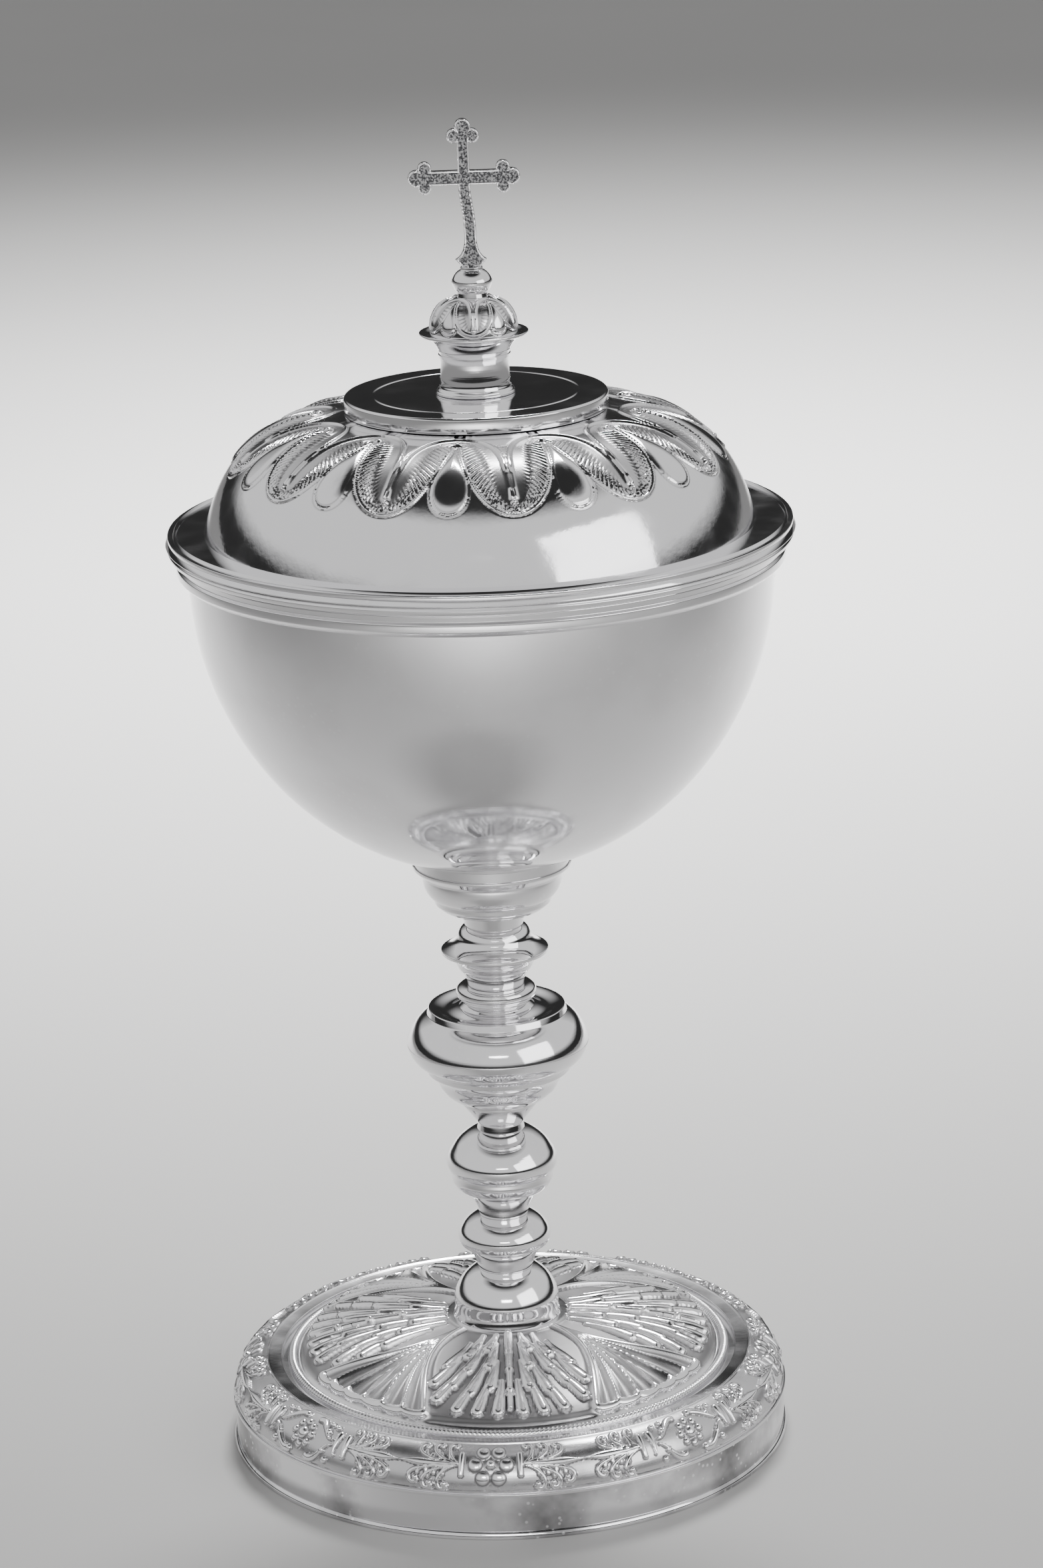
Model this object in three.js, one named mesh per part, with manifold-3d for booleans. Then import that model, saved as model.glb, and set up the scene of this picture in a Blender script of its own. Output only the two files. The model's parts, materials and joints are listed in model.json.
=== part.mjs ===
// A lidded silver church cup: a turned stem of knops on a chased round foot, a deep bowl,
// and a domed lid that lifts off, with a finial and a budded cross.
// Millimetres, +Z up. The origin is the middle of the foot, on the surface it stands on.
// Heights named Rise are measured from the seat of the piece that they belong to.

import * as THREE from 'three';
import { mergeVertices } from 'three/addons/utils/BufferGeometryUtils.js';
import Module from 'manifold-3d';

const wasm = await Module();
wasm.setup();

// Smoothness
const wideSides = 36;
const slimSides = 16;
const lidSides = 48;
const capSides = 20;
const lineSteps = 24;
const curveSteps = 3;
const longCurveSteps = 7;
const lobeSides = 8;

// How far a curved stretch leans out to its corner
const full = 1;
const plump = 0.8;
const gentle = 0.5;

// Clearances
const rodClearance = 0.3;
const threadGap = 0.05;
const solderGap = 0.05;
const socketGap = 0.1;
const bezelClearance = 0.5;
const lidSeatGap = 0.1;

// Foot
const skirtRadius = 63.4;
const baseRingReach = 0.6;
const baseRingWidth = 2.4;
const baseRingLip = 0.8;
const baseRingHeight = 1.6;
const skirtWall = 1.2;
const skirtHeight = 8.3;
const filletReach = 0.4;
const filletHeight = 0.7;
const borderSetback = 0.2;
const borderHeight = 8.6;
const borderInnerRadius = 52.4;
const borderFlat = 2.6;
const borderWall = 1.3;
const borderLedge = 2.4;
const grooveWidth = 1.6;
const milledRingWidth = 2;
const milledRingHeight = 0.9;
const milledSeatRise = 1;
const domeEdgeInset = 2.3;
const domeEdgeRise = 3.3;
const domeHaunchInset = 8.5;
const domeHaunchRise = 7.6;
const domeCrownReach = 11.5;
const domeCrownRise = 9.3;
const domeRise = 9.7;
const domeWall = 1.2;

// Bell at the stem's base
const bellHeight = 11.4;
const bellRadius = 12;
const bellFootReach = 0.5;
const bellFootRise = 2;
const bellSideRise = 4.6;
const bellNeckRadius = 6.3;

// Lower knop
const lowerKnopHeight = 13;
const lowerKnopRadius = 10.5;
const lowerKnopStep = 0.3;
const lowerKnopShoulderRise = 6.2;
const lowerKnopBandRise = 7;
const lowerKnopTopRise = 8.4;
const lowerKnopNeck = 5.6;

// Middle knop
const middleKnopHeight = 20.7;
const middleKnopVase = 10.6;
const middleKnopVaseRise = 7;
const middleKnopRingReach = 1;
const middleKnopRingRise = 9;
const middleKnopGrooveDepth = 0.3;
const middleKnopGrooveRise = 10.3;
const middleKnopRadius = 12.6;
const middleKnopBandRise = 12.6;
const middleKnopTopRise = 13.4;
const middleKnopNeck = 5.5;

// Cup-shaped collar
const collarHeight = 7;
const collarWaist = 5;
const collarWaistRise = 1.4;
const collarRadius = 8.7;
const collarLipRise = 6.3;

// Main knop, two shells
const mainLowerHeight = 13.9;
const mainGroove = 14.2;
const mainGrooveRise = 5.4;
const mainLip = 16.3;
const mainLipRise = 7.4;
const mainLipTopRise = 8.3;
const mainBelly = 17.4;
const mainBellyRise = 9.2;
const mainKnopRadius = 20.6;
const mainUpperHeight = 8.6;
const mainShoulder = 15.8;
const mainShoulderRise = 7;
const mainRingSetback = 0.4;
const mainRingRise = 8.5;
const mainRingWidth = 1;
const mainTrough = 11.5;
const mainTroughRise = 7.7;
const mainNeck = 8.6;
const mainWall = 1.6;

// Ring knop
const ringKnopHeight = 5.2;
const ringKnopWaist = 7.4;
const ringKnopFootRise = 1;
const ringKnopWaistRise = 1.7;
const ringKnopRadius = 9.1;
const ringKnopRise = 3.3;
const ringKnopNeck = 6.4;

// Upper knop
const upperKnopHeight = 13.9;
const upperKnopVase = 8.2;
const upperKnopVaseRise = 3.8;
const upperKnopRadius = 12.1;
const upperKnopBandRise = 7.6;
const upperKnopTopRise = 8.4;
const upperKnopStep = 8.6;
const upperKnopStepRise = 11;
const upperKnopNeck = 6.6;

// Calyx under the bowl
const calyxHeight = 14.9;
const calyxNeck = 7;
const calyxNeckRise = 2.9;
const calyxRing = 13.2;
const calyxRingRise = 5.8;
const calyxRingTopRise = 6.8;
const calyxBody = 15.6;
const calyxBodyRise = 10.5;
const calyxBodyTopRise = 12.2;
const calyxRadius = 17.9;
const calyxDisc = 0.7;

// Rod through the stem, with its boss, washer and nut
const rodRadius = 3;
const rodGrip = 5;
const rodTail = 2;
const bossRadius = 5;
const bossLength = 8;
const footWasherRadius = 9;
const footWasherThickness = 1.5;
const footNutAcross = 10;
const footNutHeight = 5;

// Bowl
const bowlRadius = 64.5;
const bowlDepth = 69;
const bowlWall = 1.1;
const bowlFlatRadius = 7;
const rimHeight = 5.2;
const rimReach = 2.5;
const rimFootReach = 1.3;
const rimRollRise = 1.2;
const rimRollTopRise = 2.8;
const rimGrooveReach = 1.9;
const rimGrooveRise = 3.3;
const rimReedReach = 2.2;
const rimReedRise = 4.5;

// Lid's edge
const bezelWall = 1;
const bezelDrop = 6;
const edgeHeight = 3.1;
const edgeWidth = 4.6;
const edgeOverhang = 2.2;
const edgeFootInset = 0.7;
const edgeReedInset = 0.4;
const edgeReedRise = 0.9;
const edgeGrooveInset = 0.8;
const edgeGrooveRise = 1.4;
const edgeRollRise = 2;
const beadInset = 1.6;
const beadWidth = 1.2;
const beadHeight = 0.7;

// Lid's dome
const lidWall = 0.9;
const flangeInset = 0.6;
const flangeWidth = 8;
const lidShoulderInset = 4.1;
const lidShoulderRise = 15.5;
const lidCrownInset = 12.1;
const lidCrownRise = 23.7;
const coveReach = 2.1;
const coveDrop = 0.6;
const lidDomeHeight = 25.5;
const crownInset = 0.7;

// Plate on the dome
const plateRadius = 28.9;
const plateHeight = 3.4;
const plateEdge = 0.4;
const plateWall = 1.2;
const plateSide = 2.6;
const incisedRadius = 22.5;
const incisedWidth = 0.6;
const incisedDepth = 0.3;

// Finial
const finialNeckHeight = 9.6;
const finialNeckWaist = 7.5;
const finialNeckWaistRise = 7.4;
const finialNeckFootReach = 1.3;
const finialNeckFootRise = 0.6;
const finialNeckTopReach = 0.4;
const saucerHeight = 3.9;
const saucerRadius = 11.9;
const saucerLipRise = 3.4;
const saucerLipWidth = 0.8;
const saucerDishRadius = 9.9;
const saucerDishRise = 3.4;
const capHeight = 8;
const capRadius = 9.6;
const capSideRise = 0.6;
const capTopRadius = 3.5;
const ballHeight = 6.6;
const ballNeck = 3.1;
const ballFootReach = 0.3;
const ballNeckRise = 1;
const ballRadius = 4.4;
const ballRise = 3.4;
const ballCollar = 2.4;
const ballCollarRise = 6;

// Screw through the finial, with its washer and nut inside the lid
const screwRadius = 1.6;
const screwGrip = 3;
const screwTail = 1.5;
const finialWasherRadius = 7;
const finialWasherThickness = 1;
const finialNutAcross = 7;
const finialNutHeight = 3;

// Cross
const crossHeight = 32;
const crossSpan = 24.2;
const crossBarRise = 19.4;
const crossThickness = 2;
const crossShaftWidth = 2.6;
const crossBarWidth = 3;
const crossFootWidth = 6.7;
const crossBaseWidth = 4;
const crossFootRise = 1.6;
const crossFlareRise = 6.5;
const crossLean = 1;
const endLobeRadius = 1.75;
const sideLobeRadius = 1.5;
const sideLobeOut = 2;
const sideLobeBack = 1.9;
const crossBorder = 0.45;
const crossRecess = 0.3;
const tangWidth = 2;
const tangLength = 2.5;

// The palmettes chased round the lid and, smaller, round the finial's cap, measured along the sheet
const lidPalmettes = 12;
const lidPalmetteTurn = -7.1;
const lidPalmetteMargin = 15;
const lidArchInset = 3.1;
const lidBorderRise = 0.35;
const lidLeafDepth = 0.2;
const lidDropRise = 0.65;
const lidReliefRows = 6;
const capPalmettes = 5;
const capPalmetteTurn = 36;
const capPalmetteMargin = 0.6;
const capArchInset = 0.5;
const capBorderRise = 0.3;
const capLeafDepth = 0.15;
const capDropRise = 0.45;
const capReliefRows = 4;
const reliefMargin = 0.8;

// The leaves beaten up round the foot's dome: four acanthus leaves, with a fan between each two
const footLeaves = 4;
const footLeafStart = 6.5;
const footLeafMargin = 1;
const footLeafRise = 1;
const footFanRise = 0.7;
const footReliefRows = 5;

// Finishes
const polished = { color: 0xc9c8ce, roughness: 0.12, metalness: 1 };
const chased = { color: 0xbdbcc3, roughness: 0.22, metalness: 1 };
const brass = { color: 0xb59a5c, roughness: 0.35, metalness: 1 };

// Sizes that follow from the ones above
const baseRingRadius = skirtRadius + baseRingReach;
const borderRadius = skirtRadius - borderSetback;
const borderTopRadius = borderInnerRadius + borderFlat;
const rodBore = rodRadius + rodClearance;
const screwBore = screwRadius + rodClearance;
const milledOuterRadius = borderInnerRadius - grooveWidth;
const milledInnerRadius = milledOuterRadius - milledRingWidth;
const domeEdgeRadius = milledInnerRadius - domeEdgeInset;
const bellFootRadius = bellRadius + bellFootReach;
const middleKnopRing = middleKnopVase + middleKnopRingReach;
const mainRing = mainShoulder - mainRingSetback;
const bowlInnerRadius = bowlRadius - bowlWall;
const rimRadius = bowlRadius + rimReach;
const rimGrooveRadius = bowlRadius + rimGrooveReach;
const edgeRadius = rimRadius + edgeOverhang;
const edgeFootRadius = edgeRadius - edgeFootInset;
const flangeRadius = edgeRadius - flangeInset;
const beadRadius = flangeRadius - beadInset;
const lidFootRadius = flangeRadius - flangeWidth;
const lidShoulderRadius = lidFootRadius - lidShoulderInset;
const lidCrownRadius = lidFootRadius - lidCrownInset;
const coveRadius = plateRadius + coveReach;
const coveRise = lidDomeHeight - coveDrop;
const crownRadius = plateRadius - crownInset;
const finialNeckFoot = finialNeckWaist + finialNeckFootReach;
const finialNeckTop = finialNeckWaist + finialNeckTopReach;
const bezelRadius = bowlInnerRadius - bezelClearance;

// Seats, from the table up
const skirtSeat = baseRingHeight;
const filletSeat = skirtSeat + skirtHeight;
const borderSeat = filletSeat + filletHeight;
const footDomeSeat = borderSeat + borderHeight - borderWall;
const milledSeat = footDomeSeat + milledSeatRise;
const bellSeat = footDomeSeat + domeRise;
const lowerKnopSeat = bellSeat + bellHeight;
const middleKnopSeat = lowerKnopSeat + lowerKnopHeight;
const collarSeat = middleKnopSeat + middleKnopHeight;
const mainLowerSeat = collarSeat + collarHeight;
const mainUpperSeat = mainLowerSeat + mainLowerHeight;
const ringKnopSeat = mainUpperSeat + mainUpperHeight;
const upperKnopSeat = ringKnopSeat + ringKnopHeight;
const calyxSeat = upperKnopSeat + upperKnopHeight;
const bowlSeat = calyxSeat + calyxHeight;
const bowlFlatAngle = Math.acos(bowlFlatRadius / bowlRadius);
const bowlSide = bowlDepth * Math.sin(bowlFlatAngle);
const rimSeat = bowlSeat + bowlSide;
const edgeSeat = rimSeat + rimHeight + lidSeatGap;
const flangeSeat = edgeSeat + edgeHeight;
const flangeTop = flangeSeat + lidWall;
const plateSeat = flangeTop + lidDomeHeight;
const finialNeckSeat = plateSeat + plateHeight;
const saucerSeat = finialNeckSeat + finialNeckHeight;
const capSeat = saucerSeat + saucerDishRise;
const ballSeat = capSeat + capHeight;
const crossSeat = ballSeat + ballHeight;

// An outline in radius and height, drawn from point to point
class Outline extends THREE.Path {
  to(...points) {
    for (const [radius, height] of points) this.lineTo(radius, height);
    return this;
  }

  // A convex stretch, which leans out to the corner that is wide and level with the narrow end
  swell(radius, height, fullness) {
    const start = this.currentPoint;
    const corner = [Math.max(start.x, radius), start.x < radius ? start.y : height];
    return this.bow(corner, radius, height, fullness);
  }

  // A hollow stretch, which leans in to the corner that is narrow and level with the wide end
  cove(radius, height, fullness) {
    const start = this.currentPoint;
    const corner = [Math.min(start.x, radius), start.x < radius ? height : start.y];
    return this.bow(corner, radius, height, fullness);
  }

  bow(corner, radius, height, fullness) {
    const middle = [(this.currentPoint.x + radius) / 2, (this.currentPoint.y + height) / 2];
    const control = corner.map((value, axis) => middle[axis] + (value - middle[axis]) * fullness);
    this.quadraticCurveTo(control[0], control[1], radius, height);
    return this;
  }
}

function outlineFrom(radius, height) {
  const outline = new Outline();
  outline.moveTo(radius, height);
  return outline;
}

function distinct(points) {
  return points.filter((point, index) => index === 0 || !point.equals(points[index - 1]));
}

// A turned solid from points that run once round its section
function turned(points, sides) {
  const section = distinct(points);
  if (section[0].distanceTo(section[section.length - 1]) > 0) section.push(section[0].clone());
  if (THREE.ShapeUtils.isClockWise(section)) section.reverse();
  const geometry = new THREE.LatheGeometry(section, sides);
  geometry.rotateX(Math.PI / 2);
  return geometry;
}

function ring(inner, outer, height, sides) {
  const outline = outlineFrom(inner, 0).to([outer, 0], [outer, height], [inner, height]);
  return turned(outline.getPoints(1), sides);
}

// A solid of the stem: its outside runs up from the seat, and the rod's bore runs back down
function stemPiece(outside, height) {
  outside.to([rodBore, height], [rodBore, 0]);
  return turned(outside.getPoints(curveSteps), slimSides);
}

function hexNut(across, height, bore) {
  const corner = across / Math.sqrt(3);
  const corners = Array.from({ length: 6 }, (unused, index) =>
    new THREE.Vector2(corner, 0).rotateAround(new THREE.Vector2(), index * Math.PI / 3));
  const shape = new THREE.Shape(corners);
  shape.holes.push(new THREE.Path().absarc(0, 0, bore, 0, 2 * Math.PI, true));
  const settings = { depth: height, bevelEnabled: false, curveSegments: slimSides / 2 };
  return new THREE.ExtrudeGeometry(shape, settings);
}

function addPiece(group, name, geometry, finish, seat) {
  const mesh = new THREE.Mesh(geometry, new THREE.MeshStandardMaterial(finish));
  mesh.name = name;
  mesh.position.z = seat;
  group.add(mesh);
}

// Chased relief: rings of points round the axis, joined by one closed skin

function around(radius, height, degrees) {
  const angle = THREE.MathUtils.degToRad(degrees);
  return new THREE.Vector3(radius * Math.sin(angle), -radius * Math.cos(angle), height);
}

function plainRings(points, sides, start) {
  return points.map((point) => Array.from({ length: sides }, (unused, side) =>
    around(point.x, point.y, start + side * 360 / sides)));
}

// Triangles between two runs of point numbers, which may differ in length
function strip(first, second) {
  const triangles = [];
  const ends = [first.length - 1, second.length - 1];
  let [low, high] = [0, 0];
  while (low < ends[0] || high < ends[1]) {
    if (high === ends[1] || (low < ends[0] && (low + 1) * ends[1] <= (high + 1) * ends[0])) {
      triangles.push(first[low], first[low + 1], second[high]);
      low += 1;
    } else {
      triangles.push(first[low], second[high + 1], second[high]);
      high += 1;
    }
  }
  return triangles;
}

// The skin goes once round the section; a ring may have a whole number of times its neighbour's points
function skin(rings) {
  const numbers = [];
  let count = 0;
  for (const ring of rings) {
    numbers.push(ring.map((unused, index) => count + index));
    count += ring.length;
  }
  const indices = numbers.flatMap((ring, index) => {
    const next = numbers[(index + 1) % numbers.length];
    const sides = Math.min(ring.length, next.length);
    const part = (run, side) => {
      const step = run.length / sides;
      return Array.from({ length: step + 1 }, (unused, place) => run[(side * step + place) % run.length]);
    };
    return Array.from({ length: sides }, (unused, side) => strip(part(ring, side), part(next, side))).flat();
  });
  const geometry = new THREE.BufferGeometry();
  geometry.setFromPoints(rings.flat());
  geometry.setIndex(indices);
  geometry.computeVertexNormals();
  return geometry;
}

// A point of the outline at a length from its start, moved out from the surface by the given rise
function risen(outline, length, rise) {
  const share = THREE.MathUtils.clamp(length / outline.getLength(), 0, 1);
  const tangent = outline.getTangentAt(share);
  const normal = new THREE.Vector2(-tangent.y, tangent.x);
  return outline.getPointAt(share).addScaledVector(normal, rise);
}

function line(...points) {
  return new THREE.CubicBezierCurve(...points.map(([across, down]) => new THREE.Vector2(across, down)));
}

// Where a line that runs steadily along one axis has come to on the other
function follow(curve, along, value) {
  const other = along === 'x' ? 'y' : 'x';
  const points = curve.getPoints(lineSteps);
  const next = THREE.MathUtils.clamp(points.findIndex((point) => point[along] >= value), 1, lineSteps);
  const [before, after] = [points[next - 1], points[value > points[lineSteps][along] ? lineSteps : next]];
  const share = THREE.MathUtils.clamp((value - before[along]) / (after[along] - before[along]), 0, 1);
  return before[other] + share * (after[other] - before[other]);
}

// A palmette is drawn in shares, across from its middle to its side and down from its arch to its foot:
// a drop hangs in the middle, and the half leaf beside it fills the rest up to the next palmette
const archLine = line([0, 0], [0.6, 0], [0.93, 0.2], [1, 0.32]);
const dropLine = line([0.035, 0.25], [0.12, 0.5], [0.31, 0.65], [0.27, 0.93]);
const leafLine = line([0.09, 0.23], [0.2, 0.55], [0.33, 1], [1, 1]);
const dropTop = 0.25;
const footDepths = [0.99, 0.93, 0.84, 0.97, 1];
const palmetteColumns = footDepths.length - 1;

function palmettePoint(column, row, rows, rises) {
  const even = column / palmetteColumns;
  const arch = follow(archLine, 'x', even);
  const down = arch + (footDepths[column] - arch) * row / rows;
  const drop = follow(dropLine, 'y', down);
  const leaf = follow(leafLine, 'y', down);
  const fitted = [0, drop, leaf, (leaf + 1) / 2, 1][column];
  const across = row === 0 ? even : fitted;
  const bulge = Math.sin(Math.PI * THREE.MathUtils.clamp((down - dropTop) / (1 - dropTop), 0, 1));
  const inner = [rises.drop * bulge, 0, rises.border, -rises.leaf, rises.border][column];
  const foot = column < 2 ? 0 : rises.border;
  return { across, down, rise: row === 0 ? rises.border : row === rows ? foot : inner };
}

// Rings of palmettes on an outline that runs down, from a plain one over the arches to one under the feet
function palmetteRings(outline, band) {
  const reach = band.foot - band.arch;
  const halfAngle = 180 / band.count;
  const sides = 2 * palmetteColumns * band.count;
  const ringOf = (row, margin) => Array.from({ length: sides }, (unused, index) => {
    const side = (index % (2 * palmetteColumns)) - palmetteColumns;
    const motif = Math.floor(index / (2 * palmetteColumns));
    const { across, down, rise } = palmettePoint(Math.abs(side), row, band.rows, band.rises);
    const point = risen(outline, band.arch + down * reach + margin, margin === 0 ? rise : 0);
    return around(point.x, point.y, band.turn + halfAngle * (2 * motif + Math.sign(side) * across));
  });
  const rows = Array.from({ length: band.rows + 1 }, (unused, row) => ringOf(row, 0));
  const above = Math.min(reliefMargin, band.arch / 2);
  const below = Math.min(reliefMargin, (outline.getLength() - band.foot) / 2);
  return [ringOf(0, -above), ...rows, ringOf(band.rows, below)];
}

// Places across a quarter of the foot, in degrees from the middle of an acanthus leaf to that of a fan
const leafStarts = [0, 3, 6, 9, 12, 20, 37, 40, 42.5, 45];
const leafEnds = [0, 5, 10.5, 15.5, 20.5, 25, 29, 34, 39.5, 45];
const fanColumn = 6;

// Rings of ribs on an outline that runs down: fingers on the leaves, thinner ribs on the fans
function leafRings(outline) {
  const half = leafEnds.length - 1;
  const reach = outline.getLength() - footLeafStart - footLeafMargin;
  const ringOf = (row) => Array.from({ length: 2 * half * footLeaves }, (unused, index) => {
    const side = ((index + half) % (2 * half)) - half;
    const leaf = Math.floor((index + half) / (2 * half));
    const column = Math.abs(side);
    const share = row / footReliefRows;
    const degrees = leafStarts[column] + (leafEnds[column] - leafStarts[column]) * share;
    const crest = column < fanColumn ? footLeafRise : footFanRise;
    const swelling = Math.min(Math.sin(Math.PI * share) * 2, 1);
    const rise = column % 2 === 0 ? crest * swelling : 0;
    const point = risen(outline, footLeafStart + share * reach, rise);
    return around(point.x, point.y, 360 / footLeaves * leaf + Math.sign(side) * degrees);
  });
  return Array.from({ length: footReliefRows + 1 }, (unused, row) => ringOf(row));
}

// Foot

function baseRing() {
  const inner = baseRingRadius - baseRingWidth;
  const outline = outlineFrom(inner, 0).to([baseRingRadius, 0], [baseRingRadius, baseRingLip],
    [skirtRadius, baseRingHeight], [inner, baseRingHeight]);
  return turned(outline.getPoints(1), wideSides);
}

// The quarter-round border, a cast shell open below, whose inner ledge rests on the foot's dome
function border() {
  const ledge = borderInnerRadius + borderLedge;
  const under = borderHeight - borderWall;
  const outline = outlineFrom(borderRadius, 0).swell(borderTopRadius, borderHeight, plump);
  outline.to([borderInnerRadius, borderHeight], [borderInnerRadius, under], [ledge, under]);
  outline.swell(borderRadius - borderWall, 0, plump);
  return turned(outline.getPoints(curveSteps), wideSides);
}

function milledRing() {
  return ring(milledInnerRadius, milledOuterRadius, milledRingHeight, wideSides);
}

// The low chased dome, one sheet from the stem's seat out to a ledge under the border
function footDome() {
  const ledge = borderInnerRadius + borderLedge - solderGap;
  const crown = bellFootRadius + domeCrownReach;
  const haunch = domeEdgeRadius - domeHaunchInset;
  const top = outlineFrom(bellFootRadius, domeRise);
  top.bezierCurveTo(crown, domeCrownRise, haunch, domeHaunchRise, domeEdgeRadius, domeEdgeRise);
  const seat = outlineFrom(milledInnerRadius, milledSeatRise).to([milledOuterRadius, milledSeatRise]);
  seat.to([milledOuterRadius, 0], [ledge, 0], [ledge, -domeWall], [milledInnerRadius, -domeWall]);
  seat.to([domeEdgeRadius - domeWall, domeEdgeRise - domeWall]);
  seat.bezierCurveTo(haunch - domeWall, domeHaunchRise - domeWall, crown, domeCrownRise - domeWall,
    bellFootRadius, domeRise - domeWall);
  seat.to([rodBore, domeRise - domeWall], [rodBore, domeRise], [bellFootRadius, domeRise]);
  const edge = top.getPoint(1);
  const rest = [edge, ...distinct(seat.getPoints(curveSteps))];
  return skin([...leafRings(top), ...plainRings(rest, wideSides, 0)].reverse());
}

// Stem

function baseBell() {
  const outside = outlineFrom(rodBore, 0).to([bellFootRadius, 0]);
  outside.to([bellRadius, bellFootRise], [bellRadius, bellSideRise]);
  outside.swell(bellNeckRadius, bellHeight, gentle);
  return stemPiece(outside, bellHeight);
}

function lowerKnop() {
  const outside = outlineFrom(rodBore, 0).to([bellNeckRadius, 0]);
  outside.cove(lowerKnopRadius - lowerKnopStep, lowerKnopShoulderRise, gentle);
  outside.to([lowerKnopRadius, lowerKnopBandRise], [lowerKnopRadius, lowerKnopTopRise]);
  outside.swell(lowerKnopNeck, lowerKnopHeight, gentle);
  return stemPiece(outside, lowerKnopHeight);
}

function middleKnop() {
  const outside = outlineFrom(rodBore, 0).to([lowerKnopNeck, 0]);
  outside.cove(middleKnopVase, middleKnopVaseRise, gentle);
  outside.to([middleKnopRing, middleKnopRingRise]);
  outside.to([middleKnopRing - middleKnopGrooveDepth, middleKnopGrooveRise]);
  outside.to([middleKnopRadius, middleKnopBandRise], [middleKnopRadius, middleKnopTopRise]);
  outside.swell(middleKnopNeck, middleKnopHeight, gentle);
  return stemPiece(outside, middleKnopHeight);
}

function stemCollar() {
  const outside = outlineFrom(rodBore, 0).to([middleKnopNeck, 0], [collarWaist, collarWaistRise]);
  outside.to([collarRadius, collarLipRise], [collarRadius, collarHeight]);
  return stemPiece(outside, collarHeight);
}

// The lower shell of the main knop is a cup, and the upper one closes it at the widest ring
function mainKnopLower() {
  const outside = outlineFrom(rodBore, 0).to([collarRadius, 0]);
  outside.swell(mainGroove, mainGrooveRise, gentle);
  outside.to([mainLip, mainLipRise], [mainLip, mainLipTopRise], [mainBelly, mainBellyRise]);
  outside.swell(mainKnopRadius, mainLowerHeight, gentle);
  outside.to([mainKnopRadius - mainWall, mainLowerHeight], [mainGroove - mainWall, mainLipRise]);
  return stemPiece(outside, mainWall);
}

function mainKnopUpper() {
  const outside = outlineFrom(mainKnopRadius - mainWall, 0).to([mainKnopRadius, 0]);
  outside.swell(mainShoulder, mainShoulderRise, gentle);
  outside.to([mainRing, mainRingRise], [mainRing - mainRingWidth, mainRingRise]);
  outside.to([mainTrough, mainTroughRise], [mainNeck, mainUpperHeight]);
  outside.to([rodBore, mainUpperHeight], [rodBore, mainTroughRise - mainWall]);
  outside.to([mainTrough, mainTroughRise - mainWall], [mainShoulder - mainWall, mainShoulderRise - mainWall]);
  return turned(outside.getPoints(curveSteps), slimSides);
}

function ringKnop() {
  const outside = outlineFrom(rodBore, 0).to([mainNeck, 0], [ringKnopWaist, ringKnopFootRise]);
  outside.to([ringKnopWaist, ringKnopWaistRise]);
  outside.swell(ringKnopRadius, ringKnopRise, full);
  outside.swell(ringKnopNeck, ringKnopHeight, full);
  return stemPiece(outside, ringKnopHeight);
}

function upperKnop() {
  const outside = outlineFrom(rodBore, 0).to([ringKnopNeck, 0]);
  outside.cove(upperKnopVase, upperKnopVaseRise, gentle);
  outside.cove(upperKnopRadius, upperKnopBandRise, gentle);
  outside.to([upperKnopRadius, upperKnopTopRise]);
  outside.cove(upperKnopStep, upperKnopStepRise, gentle);
  outside.swell(upperKnopNeck, upperKnopHeight, gentle);
  return stemPiece(outside, upperKnopHeight);
}

// The flared disc and the turned body under the bowl, bored for the boss
function calyx() {
  const bore = bossRadius + threadGap;
  const bossFloor = calyxHeight - bossLength;
  const outside = outlineFrom(rodBore, 0).to([upperKnopNeck, 0], [calyxNeck, calyxNeckRise]);
  outside.swell(calyxRing, calyxRingRise, gentle);
  outside.to([calyxRing, calyxRingTopRise]);
  outside.swell(calyxBody, calyxBodyRise, gentle);
  outside.to([calyxBody, calyxBodyTopRise]);
  outside.to([calyxRadius, calyxHeight - calyxDisc], [calyxRadius, calyxHeight]);
  outside.to([bore, calyxHeight], [bore, bossFloor]);
  return stemPiece(outside, bossFloor);
}

// The threaded boss under the bowl, with a blind hole for the rod
function cupBoss() {
  const bore = rodRadius + threadGap;
  const outline = outlineFrom(0, rodGrip).to([bore, rodGrip], [bore, 0], [bossRadius, 0]);
  outline.to([bossRadius, bossLength], [0, bossLength]);
  return turned(outline.getPoints(1), slimSides);
}

function rod(radius, length) {
  return turned(outlineFrom(0, 0).to([radius, 0], [radius, length], [0, length]).getPoints(1), slimSides);
}

// Cup

// Half an ellipse with a straight band at the mouth and a small flat below
function bowl() {
  const outside = outlineFrom(0, 0).to([bowlFlatRadius, 0]);
  outside.absellipse(0, bowlSide, bowlRadius, bowlDepth, -bowlFlatAngle, 0, false);
  outside.to([bowlRadius, bowlSide + rimHeight], [bowlInnerRadius, bowlSide + rimHeight]);
  const inside = new Outline();
  inside.absellipse(0, bowlSide, bowlInnerRadius, bowlSide - bowlWall, 0, -Math.PI / 2, true);
  return turned([...outside.getPoints(curveSteps), ...inside.getPoints(curveSteps - 1)], wideSides);
}

function rimMoulding() {
  const inner = bowlRadius + solderGap;
  const outline = outlineFrom(inner, 0).to([bowlRadius + rimFootReach, 0]);
  outline.to([rimRadius, rimRollRise], [rimRadius, rimRollTopRise]);
  outline.to([rimGrooveRadius, rimGrooveRise], [bowlRadius + rimReedReach, rimReedRise]);
  outline.to([rimGrooveRadius, rimHeight], [inner, rimHeight]);
  return turned(outline.getPoints(1), wideSides);
}

// Lid

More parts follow.
